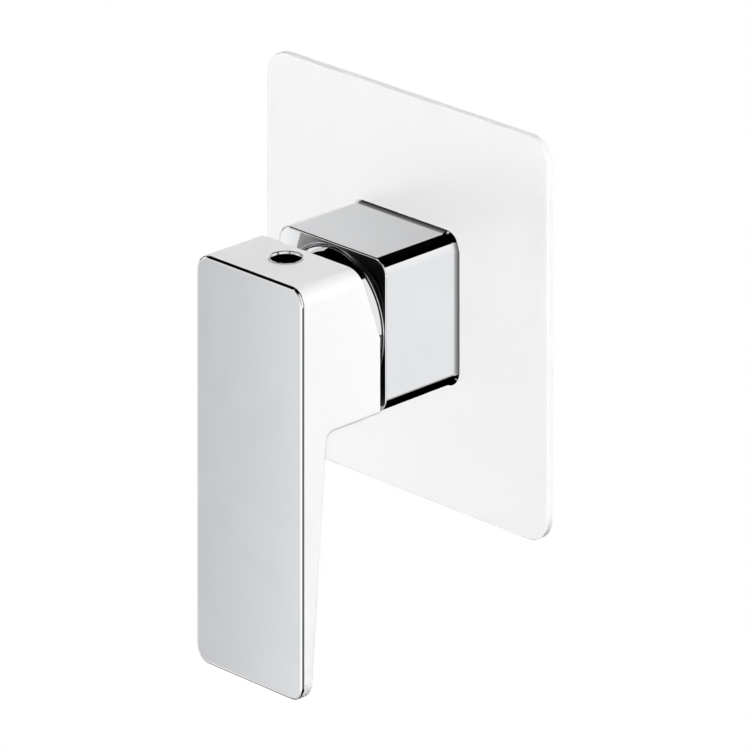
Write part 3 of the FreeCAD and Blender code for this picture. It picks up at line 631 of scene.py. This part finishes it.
@dataclass(frozen=True)
class Skin:
    """A closed surface: a profile carried round the axis along a rounded square or a circle.

    A point of the outline is a corner's middle, plus the corner's radius and the profile's offset in the
    direction that the outline faces there. With corner middles at the axis it is a circle. Surface
    directions are the profile's own, so flat faces stay flat in a mirror up to their rounded edges.
    """

    name: str
    profile: Profile
    corner_middle: float = 0.0
    corner_radius: float = 0.0
    corner_steps: int = 14
    side_steps: int = 12
    axis_place: Triple = (0.0, 0.0, 0.0)
    upright: bool = False

    def outline(self) -> tuple[Array, Array]:
        """Goes round the square by quarter turns, each one a corner and the side that comes after it.

        A circle has no side steps: there a corner ends where the next one starts, in one point.

        Returns:
            The outline's corner middles and the directions in which it faces.
        """
        count = self.corner_steps + self.side_steps
        bend = arc(0.0, 90.0, self.corner_steps + 1)
        share = np.linspace(0.0, 1.0, self.side_steps + 1)[1:-1]
        turn = np.concatenate([bend, np.full_like(share, bend[-1])])[:count]
        shift = np.concatenate([np.zeros_like(bend), share])[:count]
        quarter = np.array([1.0, 1.0j, -1.0, -1.0j])[:, None]
        middles = self.corner_middle * quarter * (1.0 - 2.0 * shift + 1.0j)
        spots = (middles.ravel(), (quarter * np.exp(1.0j * turn)).ravel())
        middles, facing = (np.stack([spot.real, spot.imag], axis=-1) for spot in spots)
        return middles, facing

    def frame_up(self, across: Array, station: Array) -> Array:
        """Turns offsets across the axis and stations along it into directions of the row frame."""
        parts = np.stack([across[..., 0], across[..., 1], station], axis=-1)
        return parts @ (UPRIGHT if self.upright else FORWARD)

    def directions(self, across: Array, facing: tuple[Pair, ...]) -> Array:
        """Gives surface directions along the outline, by each step's share across and along."""
        shares = np.array(facing)
        return self.frame_up(across * shares[:, None, :1], shares[:, 1:] * np.ones(across.shape[:2]))

    def make(self) -> Piece:
        """Builds the surface, with its faces turned outwards.

        Returns:
            The new object.
        """
        middles, facing = self.outline()
        rim = middles + self.corner_radius * facing
        reach = np.linalg.norm(rim, axis=1, keepdims=True)
        radial = np.where(reach > 0.0, rim / np.where(reach > 0.0, reach, 1.0), facing)
        offsets, stations, rounds = (np.array(column) for column in zip(*self.profile.places[:-1]))
        offset = offsets[:, None, None]
        is_round = rounds[:, None, None]
        across = np.where(is_round, offset * radial, middles + (self.corner_radius + offset) * facing)
        rows, columns = across.shape[:2]
        points = self.frame_up(across, stations[:, None] * np.ones(columns)) + np.array(self.axis_place)
        directions = np.where(is_round, radial, facing * np.ones_like(offset))
        before, after = zip(*self.profile.facing)
        starts = self.directions(directions, before)
        ends = self.directions(np.roll(directions, -1, axis=0), after)
        corners = [starts, np.roll(starts, -1, axis=1), np.roll(ends, -1, axis=1), ends]
        normals = np.stack(corners, axis=2).reshape(-1, 4, 3)
        faces = np.array(grid_faces(rows, columns, close_rows=True, close_columns=True))
        first, second, third, fourth = (points.reshape(-1, 3)[faces[:, corner]] for corner in range(4))
        spread = np.cross(third - first, fourth - second)
        if np.einsum("ij,ij->", spread, first + second + third + fourth) < 0.0:
            faces = faces[:, ::-1]
            normals = normals[:, ::-1]
        piece = new_piece(self.name, MM * points, faces.tolist(), sharp_angle=180.0)
        piece.data.normals_split_custom_set(normals.reshape(-1, 3).tolist())
        return piece


# Studio


FAR = 3.0


def sky_directions(azimuth: Array | float, elevation: Array | float) -> Array:
    """Gives unit vectors towards places in the sky.

    A vector's level part is the cosine of its elevation, and its height the sine. The level part points
    right by the sine of the azimuth and to the front by its cosine: 0 is in front and 90 on the right.

    Args:
        azimuth: azimuths in radians.
        elevation: elevations in radians.

    Returns:
        An array that ends in three coordinates.
    """
    azimuth, elevation = np.broadcast_arrays(azimuth, elevation)
    level = np.cos(elevation)
    return np.stack([np.sin(azimuth) * level, -np.cos(azimuth) * level, np.sin(elevation)], axis=-1)


def plain(strength: float) -> Stops:
    """Gives the stops of a light that is the same all over."""
    return (0.0, strength), (1.0, strength)


BLACK = plain(0.0)
PALE = plain(1.4)
WINDOW = plain(0.85)


@dataclass(frozen=True)
class Card:
    """A card far from the object that only mirrors see, black unless it has stops of light.

    It is a patch of a sphere: the points at a distance towards a range of azimuths and of elevations, in
    degrees. A stop is a share of the way across or up and the light's strength there.
    """

    name: str
    azimuths: Pair
    elevations: Pair
    stops: Stops = BLACK
    along: Along = Along.ACROSS
    distance: float = FAR
    columns: int = 33
    rows: int = 25

    def make(self) -> None:
        """Builds the card as a stage piece with its light."""
        azimuth = arc(*self.azimuths, self.columns)[None, :]
        elevation = arc(*self.elevations, self.rows)[:, None]
        points = self.distance * sky_directions(azimuth, elevation)
        name = f"card_{self.name}"
        card = new_piece(name, points, grid_faces(self.rows, self.columns))
        counts = (self.columns, self.rows)
        ways = np.meshgrid(*(np.linspace(0.0, 1.0, count, dtype=np.float32) for count in counts))
        share = ways[self.along.value].ravel()
        card.data.attributes.new("share", "FLOAT", "POINT").data.foreach_set("value", share)
        card.data.materials.append(self.light(name))
        for onlooker in ("camera", "diffuse", "transmission", "volume_scatter", "shadow"):
            setattr(card, f"visible_{onlooker}", False)
        LOG.info("stage %s", name)

    def light(self, name: str) -> Material:
        """Builds a light whose strength follows the stops, and is plain white to what a matt face sees.

        Args:
            name: the material's name.

        Returns:
            The material.
        """
        material, shader = new_material(name)
        share = shader.node("Attribute", attribute_name="share").outputs["Fac"]
        curve = shader.node("FloatCurve", {"Value": share})
        points = curve.mapping.curves[0].points
        top = max(strength for _, strength in self.stops) or 1.0
        while len(points) < len(self.stops):
            points.new(0.5, 0.5)
        for point, (position, strength) in zip(points, self.stops):
            point.location = (position, strength / top)
            point.handle_type = "VECTOR"
        curve.mapping.update()
        direct = shader.combine("MULTIPLY", curve.outputs["Value"], top)
        bounces = shader.node("LightPath").outputs["Diffuse Depth"]
        glow = shader.node("Emission", {"Strength": shader.mix_values(bounces, direct, 1.0)})
        shader.node("OutputMaterial", {"Surface": glow.outputs["Emission"]})
        return material


SOFT_TOP = ((0.0, 0.65), (0.195, 0.36), (0.368, 0.25), (0.534, 0.118), (0.677, 0.1), (1.0, 0.0))
RIGHT_MIDDLE = ((0.0, 0.1), (0.5, 0.65), (0.75, 1.25), (1.0, 1.4))
RIGHT = (
    (0.0, 0.0), (0.37, 0.05), (0.564, 0.13), (0.632, 0.2), (0.699, 0.34),
    (0.765, 0.48), (0.835, 0.65), (0.901, 0.93), (0.968, 1.25), (1.0, 1.37),
)
RIGHT_BACK = ((0.0, 1.42), (0.03, 1.37), (0.24, 1.37), (0.5, 1.45), (0.75, 1.5), (1.0, 1.55))
NEAR_FRONT = (
    (0.0, 1.6), (0.413, 1.6), (0.461, 0.945), (0.542, 1.08), (0.613, 1.24), (0.71, 1.4), (1.0, 1.6),
)
NEAR_BACK = ((0.0, 0.82), (0.34, 0.895), (0.64, 1.02), (1.0, 1.11))

CARDS = (
    Card("top_left", (258.5, 325.0), (30.0, 47.6)),
    Card("top_left_rear", (258.5, 287.0), (10.0, 30.0)),
    Card("top_left_front", (300.0, 325.0), (18.0, 30.0)),
    Card("left_glint", (287.0, 300.0), (10.0, 30.0), plain(2.2)),
    Card("top_left_high", (241.0, 252.0), (34.0, 47.6)),
    Card("top_left_ridge", (252.0, 258.5), (40.0, 47.6)),
    Card("left_line", (300.0, 330.0), (-3.0, 18.0), plain(1.25)),
    Card("left_outline", (250.0, 292.0), (-5.0, 4.0)),
    Card("front_up", (38.0, 48.0), (2.0, 63.0), PALE),
    Card("top_soft", (225.5, 241.0), (21.0, 47.6), SOFT_TOP, Along.UP),
    Card("top_right", (97.0, 131.0), (37.0, 47.6)),
    Card("top_right_high", (131.0, 152.0), (30.0, 47.6)),
    Card("top_right_rear", (152.0, 190.0), (15.5, 47.6)),
    Card("top_right_soft", (190.0, 225.5), (33.0, 47.6)),
    Card("top_back_right", (97.0, 214.0), (47.6, 90.0), columns=49),
    Card("top_back_low", (214.0, 236.0), (47.6, 54.0)),
    Card("top_window", (214.0, 236.0), (54.0, 67.0), WINDOW),
    Card("top_back_high", (214.0, 236.0), (67.0, 90.0)),
    Card("top_back_left", (236.0, 400.0), (47.6, 90.0), columns=49),
    Card("front_high", (-20.0, 22.0), (24.0, 47.6)),
    Card("top_front", (40.0, 97.0), (63.0, 90.0)),
    Card("low_back_near", (131.0, 140.0), (-53.0, -31.5)),
    Card("low_window", (131.0, 140.0), (-90.0, -53.0), WINDOW),
    Card("low_back", (140.0, 245.0), (-90.0, -31.5), columns=49),
    Card("low_line", (131.0, 152.0), (-29.5, -27.5)),
    Card("low_right", (50.0, 131.0), (-90.0, -36.0)),
    Card("low_left", (245.0, 300.0), (-70.0, -34.0), plain(0.3)),
    Card("front", (-27.0, 48.0), (-40.0, -9.0), ((0.0, 1.6), (1.0, 2.0))),
    Card("right_up", (48.0, 97.0), (-16.5, 63.0), PALE),
    Card("right_mid", (97.0, 131.0), (-16.5, 37.0), RIGHT_MIDDLE),
    Card("right", (50.0, 131.0), (-36.0, -16.5), RIGHT),
    Card("right_back", (131.0, 152.0), (-27.5, 30.0), RIGHT_BACK, Along.UP),
    Card("near_front", (-58.0, -27.0), (-48.0, -3.0), NEAR_FRONT, distance=0.6),
    Card("near_back", (221.0, 231.0), (12.0, 23.2), NEAR_BACK, distance=0.8),
)


@dataclass(frozen=True)
class Lamp:
    """A lamp at an azimuth and an elevation in degrees: a sun, or a point whose light doesn't fall off."""

    name: str
    irradiance: float
    azimuth: float
    elevation: float
    distance: float | None = None
    radius: float = 0.02
    spread: float = 30.0

    def make(self) -> None:
        """Builds the lamp, which mirrors don't see."""
        light = bpy.data.lights.new(self.name, "SUN" if self.distance is None else "POINT")
        if self.distance is None:
            light.energy = self.irradiance
            light.angle = math.radians(self.spread)
        else:
            light.energy = self.irradiance * 4.0 * math.pi
            light.shadow_soft_size = self.radius
            light.use_nodes = True
            shader = Shader(light.node_tree)
            even = shader.node("LightFalloff", {"Strength": 1.0}).outputs["Constant"]
            glow = shader.node("Emission", {"Strength": even})
            shader.node("OutputLight", {"Surface": glow.outputs["Emission"]})
        away = sky_directions(math.radians(self.azimuth), math.radians(self.elevation))
        lamp = bpy.data.objects.new(self.name, light)
        lamp.location = Vector(away) * (self.distance or FAR)
        lamp.rotation_euler = Vector(away).to_track_quat("Z", "Y").to_euler()
        lamp.visible_glossy = False
        bpy.context.scene.collection.objects.link(lamp)


LAMPS = (
    Lamp("key", irradiance=3.04, azimuth=44.995, elevation=20.1, distance=2.2802),
    Lamp("overhead", irradiance=0.42, azimuth=0.0, elevation=88.0),
)


@dataclass(frozen=True)
class Studio:
    """Pale floor, white wall face, the lamps and the cards that mirrors see."""

    wall_gap: float = 0.5 * MM
    wall_left: float = -0.26
    wall_right: float = 0.24
    wall_top: float = 0.20
    wall_tone: Triple = (0.5, 0.5, 0.5)
    floor_height: float = -0.20
    floor_reach: float = 3.0
    floor_cloud: Pair = (1.5, 2.0)
    floor_light: Triple = (0.6, 0.6, 0.6)
    floor_dark: Triple = (0.591, 0.591, 0.591)
    floor_roughness: float = 0.9
    floor_lift: float = 0.38
    ambient: float = 0.30

    def light_world(self) -> None:
        """Shows white to the camera, mirrors and glass, and lights the rest at a plain level."""
        world = bpy.data.worlds.new("studio")
        bpy.context.scene.world = world
        world.use_nodes = True
        shader = Shader(world.node_tree)
        path = shader.node("LightPath")
        seen = shader.combine("MAXIMUM", path.outputs["Is Camera Ray"], path.outputs["Is Glossy Ray"])
        clear = shader.combine("MAXIMUM", seen, path.outputs["Is Transmission Ray"])
        strength = shader.ranged(clear, WHOLE, (self.ambient, 1.0))
        sky = shader.node("Background", {"Color": WHITE, "Strength": strength})
        shader.node("OutputWorld", {"Surface": sky.outputs["Background"]})

    def panel(self, corners: list[Triple], material: Material, shader: Shader, front: Socket) -> None:
        """Builds a rectangle as a stage piece, clear to what sees it from behind, that mirrors don't see.

        Args:
            corners: its four corners, anticlockwise as seen from the front.
            material: its material, which has the piece's name.
            shader: the material's node tree.
            front: the shader of its front.
        """
        behind = shader.node("NewGeometry").outputs["Backfacing"]
        clear = shader.node("BsdfTransparent").outputs["BSDF"]
        shader.node("OutputMaterial", {"Surface": shader.mix_shaders(behind, front, clear)})
        panel = new_piece(material.name, np.array(corners), [[0, 1, 2, 3]])
        panel.data.materials.append(material)
        panel.visible_glossy = False
        LOG.info("stage %s", panel.name)

    def wall(self) -> None:
        """Builds the wall's face, white in front. The body in the wall shows from behind."""
        material, shader = new_material("wall")
        camera = shader.node("LightPath").outputs["Is Camera Ray"]
        paint = shader.node("BsdfDiffuse", {"Color": (*self.wall_tone, 1.0)}).outputs["BSDF"]
        white = shader.node("Emission").outputs["Emission"]
        low, high = self.floor_height, self.wall_top
        left, right = self.wall_left, self.wall_right
        spots = ((left, low), (right, low), (right, high), (left, high))
        corners = [(across, self.wall_gap, up) for across, up in spots]
        self.panel(corners, material, shader, shader.mix_shaders(camera, paint, white))

    def floor(self) -> None:
        """Builds the pale floor that takes the object's shadow, clear from below."""
        material, shader = new_material("floor")
        cloud = shader.noise(*self.floor_cloud)
        camera = shader.node("LightPath").outputs["Is Camera Ray"]
        sources = {
            "Base Color": shader.tones(cloud, PATTERN_MIDDLE, self.floor_dark, self.floor_light),
            "Roughness": self.floor_roughness,
            "Emission Color": WHITE,
            "Emission Strength": shader.combine("MULTIPLY", camera, self.floor_lift),
        }
        front = shader.node("BsdfPrincipled", sources).outputs["BSDF"]
        reach = self.floor_reach
        spots = ((-reach, -reach), (reach, -reach), (reach, reach), (-reach, reach))
        corners = [(across, deep, self.floor_height) for across, deep in spots]
        self.panel(corners, material, shader, front)

    def build(self) -> None:
        """Builds the whole studio."""
        self.light_world()
        for lamp in LAMPS:
            lamp.make()
        self.wall()
        self.floor()
        for card in CARDS:
            card.make()


@dataclass(frozen=True)
class UprightCamera:
    """A camera that looks down while its film stays upright, so that the object's verticals stay parallel.

    It is a pinhole at a distance and a rise from the origin. The lens points at the middle of the picture,
    and the slant of the camera's own frame turns the film back upright. The scale is the number of the
    picture's pixels to the metre at the object.
    """

    azimuth: float = 44.995
    distance: float = 2.1413
    rise: float = 0.7837
    scale: float = 3304.0
    middle_across: float = -10.56 * MM
    middle_up: float = -25.72 * MM
    film: float = 36.0
    picture: float = 750.0
    clip_start: float = 0.05
    clip_end: float = 50.0

    def build(self) -> None:
        """Builds the camera and makes it the scene's."""
        turn = math.radians(self.azimuth)
        across = Vector((math.cos(turn), math.sin(turn), 0.0))
        ahead = Vector((-math.sin(turn), math.cos(turn), 0.0))
        up = Vector((0.0, 0.0, 1.0))
        spot = -self.distance * ahead + self.rise * up
        sight = self.middle_across * across + self.middle_up * up - spot
        lens = bpy.data.cameras.new("camera")
        lens.sensor_width = self.film
        lens.lens = self.scale * sight.length / self.picture * self.film
        lens.clip_start = self.clip_start
        lens.clip_end = self.clip_end
        camera = bpy.data.objects.new("camera", lens)
        stand = bpy.data.objects.new("camera_stand", None)
        for thing in (stand, camera):
            bpy.context.scene.collection.objects.link(thing)
        columns = [across, up, -sight.normalized(), spot]
        slant = Matrix([list(column) + [0.0] for column in columns]).transposed()
        slant[3][3] = 1.0
        camera.parent = stand
        camera.matrix_parent_inverse = slant
        bpy.context.scene.camera = camera


# Pieces of the mixer


@dataclass(frozen=True)
class SquareSleeve:
    """The chromed square sleeve: a foot that flares in a hollow curve, flat sides and a beaded mouth."""

    half_width: float = 22.9
    corner: float = 5.0
    rear: float = 2.3
    front: float = 32.95
    flare_radius: float = 7.74
    flare_turn: float = 19.64
    edge: float = 0.75
    edge_start: float = 35.0
    seat_radius: float = 21.77
    seat_depth: float = 1.5
    bead: float = 0.22
    hole_radius: float = 20.0
    front_wall: float = 3.0
    wall: float = 1.5
    fine_steps: int = 16

    def profile(self) -> Profile:
        """Goes from the foot round the outside, through the mouth and back along the inside.

        Returns:
            The section.
        """
        turn = math.radians(self.flare_turn)
        crease = math.radians(self.edge_start)
        top = self.rear + self.flare_radius * math.sin(turn)
        reach = self.flare_radius * (1.0 - math.cos(turn))
        seat = self.front - self.seat_depth
        inside = self.front - self.front_wall
        profile = Profile.start(reach, self.rear, is_round=False)
        middle = (self.flare_radius, top)
        angles = (180.0 + self.flare_turn, 180.0)
        profile.bend(middle, self.flare_radius, angles, is_round=False, steps=self.fine_steps, hollow=True)
        profile.line(0.0, self.front - self.edge * (1.0 - math.sin(crease)), OUT, is_round=False)
        middle = (-self.edge * math.cos(crease), self.front - self.edge)
        profile.bend(middle, self.edge, (self.edge_start, 90.0), is_round=False)
        profile.line(self.seat_radius + 2.0 * self.bead, self.front, AHEAD)
        middle = (self.seat_radius + self.bead, self.front)
        profile.bend(middle, self.bead, (0.0, 180.0), steps=self.fine_steps)
        profile.line(self.seat_radius, seat, IN)
        profile.line(self.hole_radius, seat, AHEAD)
        profile.line(self.hole_radius, inside, IN)
        profile.line(-self.wall, inside, BACK, is_round=False)
        profile.line(-self.wall, self.rear, IN, is_round=False)
        profile.line(reach, self.rear, BACK, is_round=False)
        return profile

    def build(self, finisher: Finisher) -> None:
        """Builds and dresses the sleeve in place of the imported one."""
        skin = Skin("sleeve_chrome", self.profile(), self.half_width - self.corner, self.corner)
        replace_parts(add_piece(finisher, skin.make(), Body.FIXED, Slot.CHROME), "square_sleeve")


@dataclass(frozen=True)
class DomeCap:
    """The chromed dome about the lever's pivot, with a rim and a skirt."""

    pivot: float = 24.6
    radius: float = 22.8782
    wall: float = 1.5
    opening: float = 13.7267
    rim_radius: float = 21.3
    rim_front: float = 33.05
    rim_rear: float = 31.45
    rim_edge: float = 0.02
    skirt_radius: float = 19.9
    skirt_bore: float = 18.8
    skirt_rear: float = 22.5
    dome_steps: int = 40
    inside_steps: int = 20
    quarter_steps: int = 48

    def ball_station(self, radius: float, offset: float) -> float:
        """Gives the station at which a ball about the pivot is as wide as an offset."""
        return self.pivot + math.sqrt(radius * radius - offset * offset)

    def profile(self) -> Profile:
        """Goes from the opening over the dome and the rim, round the skirt and back inside.

        Returns:
            The section.
        """
        inner = self.radius - self.wall
        start = math.degrees(math.acos(self.opening / self.radius))
        end = math.degrees(math.asin((self.rim_front - self.pivot) / self.radius))
        profile = Profile.start(self.opening, self.ball_station(self.radius, self.opening))
        profile.bend((0.0, self.pivot), self.radius, (start, end), steps=self.dome_steps)
        middle = (self.rim_radius - self.rim_edge, self.rim_front - self.rim_edge)
        profile.line(middle[0], self.rim_front, AHEAD)
        profile.bend(middle, self.rim_edge, (90.0, 0.0))
        profile.line(self.rim_radius, self.rim_rear, OUT)
        profile.line(self.skirt_radius, self.rim_rear, BACK)
        profile.line(self.skirt_radius, self.skirt_rear, OUT)
        profile.line(self.skirt_bore, self.skirt_rear, BACK)
        profile.line(self.skirt_bore, self.ball_station(inner, self.skirt_bore), IN)
        start = math.degrees(math.acos(self.skirt_bore / inner))
        end = math.degrees(math.acos(self.opening / inner))
        profile.bend((0.0, self.pivot), inner, (start, end), steps=self.inside_steps, hollow=True)
        profile.line(self.opening, self.ball_station(self.radius, self.opening), IN)
        return profile

    def build(self, finisher: Finisher) -> None:
        """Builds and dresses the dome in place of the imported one."""
        skin = Skin("dome_chrome", self.profile(), corner_steps=self.quarter_steps, side_steps=0)
        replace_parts(add_piece(finisher, skin.make(), Body.FIXED, Slot.CHROME), "dome_cap")


@dataclass(frozen=True)
class HoleRing:
    """The chromed ring that lines the screw hole, with a dished lip and a bevel down to the bore."""

    station: float = 52.1
    foot: float = 13.9
    top: float = 22.9
    lip: float = 0.4
    radius: float = 5.35
    bore: float = 4.6
    outer_edge: float = 0.1
    dish: float = 12.0
    mouth: float = 4.85
    bevel: float = 0.6
    quarter_steps: int = 24

    def profile(self) -> Profile:
        """Goes up the outside, over the dished lip, down a steep bevel and down the bore.

        Returns:
            The section.
        """
        tilt = math.radians(self.dish)
        middle = (self.radius - self.outer_edge, self.top + self.lip - self.outer_edge)
        brink = self.top + self.lip - (middle[0] - self.mouth) * math.tan(tilt)
        slope = math.atan2(self.mouth - self.bore, self.bevel)
        profile = Profile.start(self.radius, self.foot)
        profile.line(self.radius, middle[1], OUT)
        profile.bend(middle, self.outer_edge, (0.0, 90.0))
        profile.line(self.mouth, brink, (-math.sin(tilt), math.cos(tilt)))
        profile.line(self.bore, brink - self.bevel, (-math.cos(slope), math.sin(slope)))
        profile.line(self.bore, self.foot, IN)
        profile.line(self.radius, self.foot, BACK)
        return profile

    def build(self, finisher: Finisher) -> None:
        """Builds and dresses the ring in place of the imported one.

        Args:
            finisher: gives the material.
        """
        place = (0.0, -self.station, 0.0)
        steps = {"corner_steps": self.quarter_steps, "side_steps": 0}
        skin = Skin("hole_ring", self.profile(), **steps, axis_place=place, upright=True)
        piece = add_piece(finisher, skin.make(), Body.LEVER, Slot.CHROME)
        # The ring takes the chrome with painted shade in its bore.
        piece.data.materials[0] = finisher.ring_plating_with_painted_shade
        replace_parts(piece, "hole_bush")


class Port(Enum):
    """The bosses of the brass body and the way each one points across the mixer's axis."""

    HOT = (-1.0, 0.0)
    COLD = (1.0, 0.0)
    OUTLET = (0.0, 1.0)


@dataclass(frozen=True)
class BrassBody:
    """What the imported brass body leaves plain: pipe threads, collars on the bosses and the casting's seam.

    A place about a boss is a distance along the boss, a radius from its middle line and an angle round it.
    """

    depth: float = 30.0
    block_radius: float = 27.0
    boss_radius: float = 14.0
    boss_reach: float = 42.0
    bore: float = 9.3
    pitch: float = 1.814
    thread_start: float = 0.9
    thread_length: float = 13.4
    ridge_height: float = 0.45
    ridge_foot: float = 1.5
    ridge_crest: float = 0.24
    collar_length: float = 5.0
    collar_height: float = 0.9
    collar_edge: float = 0.5
    seam_width: float = 0.7
    seam_height: float = 0.3
    sunk: float = 0.3
    turn_steps: int = 60
    collar_steps: int = 96
    edge_points: int = 7
    run_points: int = 12
    block_points: int = 60
    seam_points: int = 9

    def about_boss(self, port: Port, along: Array, radius: Array, angle: Array) -> Array:
        """Turns places about a boss into points of the row frame.

        Args:
            port: the boss.
            along: distances from the mixer's axis along the boss.
            radius: distances from the boss's middle line.
            angle: angles round it in radians.

        Returns:
            An array that ends in three coordinates.
        """
        right, up = port.value
        outward = np.array([right, 0.0, up])
        across = np.array([up, 0.0, -right])
        deep = np.array([0.0, 1.0, 0.0])
        ring = np.cos(angle)[..., None] * across + np.sin(angle)[..., None] * deep
        return MM * (along[..., None] * outward + radius[..., None] * ring + self.depth * deep)

    def thread(self, port: Port) -> Piece:
        """Builds a boss's pipe thread: a ridge carried along a helix in the bore.

        The helix goes one pitch deeper with each turn. The ridge's section is a trapezium whose foot lies
        in the bore's wall, and its height falls to nothing over the first and the last half turn.

        Args:
            port: the boss.

        Returns:
            The ridge.
        """
        turns = self.thread_length / self.pitch
        angle = np.linspace(0.0, FULL_TURN * turns, round(self.turn_steps * turns))[:, None]
        rise = np.clip(np.minimum(angle, angle[-1] - angle) / math.pi, 0.0, 1.0)
        section = 0.5 * np.array([-self.ridge_foot, -self.ridge_crest, self.ridge_crest, self.ridge_foot])
        inward = np.array([0.0, 1.0, 1.0, 0.0])
        along = self.boss_reach - self.thread_start - self.pitch * angle / FULL_TURN + section
        radius = self.bore + self.sunk - inward * (self.sunk + self.ridge_height * rise)
        points = self.about_boss(port, along, radius, angle * np.ones_like(inward))
        faces = capped_faces(len(angle), len(inward))
        return new_piece(f"thread_{port.name.lower()}", points, faces, closed=True)

    def collar(self, port: Port) -> Piece:
        """Builds the collar at a boss's end: a band with two rounded edges carried round the boss.

        Args:
            port: the boss.

        Returns:
            The collar.
        """
        edge = self.collar_edge
        far = self.boss_reach
        near = far - self.collar_length
        inner = self.boss_radius - self.sunk
        brow = self.boss_radius + self.collar_height - edge
        turn = np.concatenate([arc(0.0, 90.0, self.edge_points), arc(90.0, 180.0, self.edge_points)])
        middle = np.repeat([far - edge, near + edge], self.edge_points)
        along = np.concatenate([[far], middle + edge * np.cos(turn), [near]])
        radius = np.concatenate([[inner], brow + edge * np.sin(turn), [inner]])
        angle = np.linspace(0.0, FULL_TURN, self.collar_steps, endpoint=False)[:, None]
        flat = np.ones_like(angle)
        points = self.about_boss(port, flat * along, flat * radius, angle * np.ones_like(along))
        faces = grid_faces(len(angle), len(along), close_rows=True, close_columns=True)
        return new_piece(f"collar_{port.name.lower()}", points, faces, closed=True)

    def seam(self, name: str, first: Port, last: Port) -> Piece:
        """Builds a length of the casting's seam: a half-round bead carried along a line between two bosses.

        The line goes down a boss, round the block and up the next boss, in the plane of the bosses. A point
        is a place on the line, plus the bead's height in the direction in which the casting faces there.

        Args:
            name: which length it is.
            first: the boss it starts on.
            last: the next boss anticlockwise.

        Returns:
            The bead.
        """
        tuck = math.degrees(math.asin(self.boss_radius / self.block_radius))
        root = self.block_radius * math.cos(math.radians(tuck))
        run = np.linspace(self.boss_reach - self.collar_length, root, self.run_points)[:, None]
        out_first, out_last = np.array(first.value), np.array(last.value)
        start, end = (math.degrees(math.atan2(out[1], out[0])) for out in (out_first, out_last))
        block = arc(start + tuck, start + (end - start) % 360.0 - tuck, self.block_points)[1:-1]
        bend = np.stack([np.cos(block), np.sin(block)], axis=-1)
        side_first = np.array([-out_first[1], out_first[0]])
        side_last = np.array([out_last[1], -out_last[0]])
        down = run * out_first + self.boss_radius * side_first
        up = run[::-1] * out_last + self.boss_radius * side_last
        places = np.concatenate([down, self.block_radius * bend, up])
        along = np.ones_like(run)
        facing = np.concatenate([along * side_first, bend, along * side_last])
        turn = arc(0.0, 180.0, self.seam_points)
        wide = 0.5 * self.seam_width * np.concatenate([[1.0], np.cos(turn), [-1.0]])
        high = np.concatenate([[-self.sunk], self.seam_height * np.sin(turn), [-self.sunk]])
        flat = places[:, None, :] + high[None, :, None] * facing[:, None, :]
        deep = np.broadcast_to(self.depth + wide, flat.shape[:2])
        points = MM * np.stack([flat[..., 0], deep, flat[..., 1]], axis=-1)
        faces = capped_faces(len(places), len(wide))
        return new_piece(f"casting_seam_{name}", points, faces, closed=True)

    def build(self, finisher: Finisher) -> None:
        """Builds and dresses threads, collars and seams on the brass body, out of the chrome's sight.

        Args:
            finisher: gives the material.
        """
        pieces = []
        for port in Port:
            pieces.extend([self.thread(port), self.collar(port)])
        pieces.append(self.seam("left", Port.OUTLET, Port.HOT))
        pieces.append(self.seam("right", Port.COLD, Port.OUTLET))
        pieces.append(self.seam("low", Port.HOT, Port.COLD))
        for piece in pieces:
            add_piece(finisher, piece, Body.FIXED, Slot.BRASS)
            piece.visible_glossy = False


def hide_from_mirrors() -> None:
    """Keeps the cover plate and what reaches into the wall out of the chrome's reflections."""
    for name, node in frame["nodes"].items():
        _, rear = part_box(name)
        if name == "wall_plate" or rear.y > 0.0:
            node.visible_glossy = False


def main() -> None:
    """Builds the scene class by class."""
    logging.basicConfig(level=logging.INFO, format="%(message)s")
    bpy.context.scene.view_settings.view_transform = "Standard"
    UprightCamera().build()
    Studio().build()
    finisher = Finisher()
    finisher.dress_nodes()
    hide_from_mirrors()
    for assembly in (SquareSleeve(), DomeCap(), HoleRing(), BrassBody()):
        assembly.build(finisher)


if __name__ == "__main__":
    main()
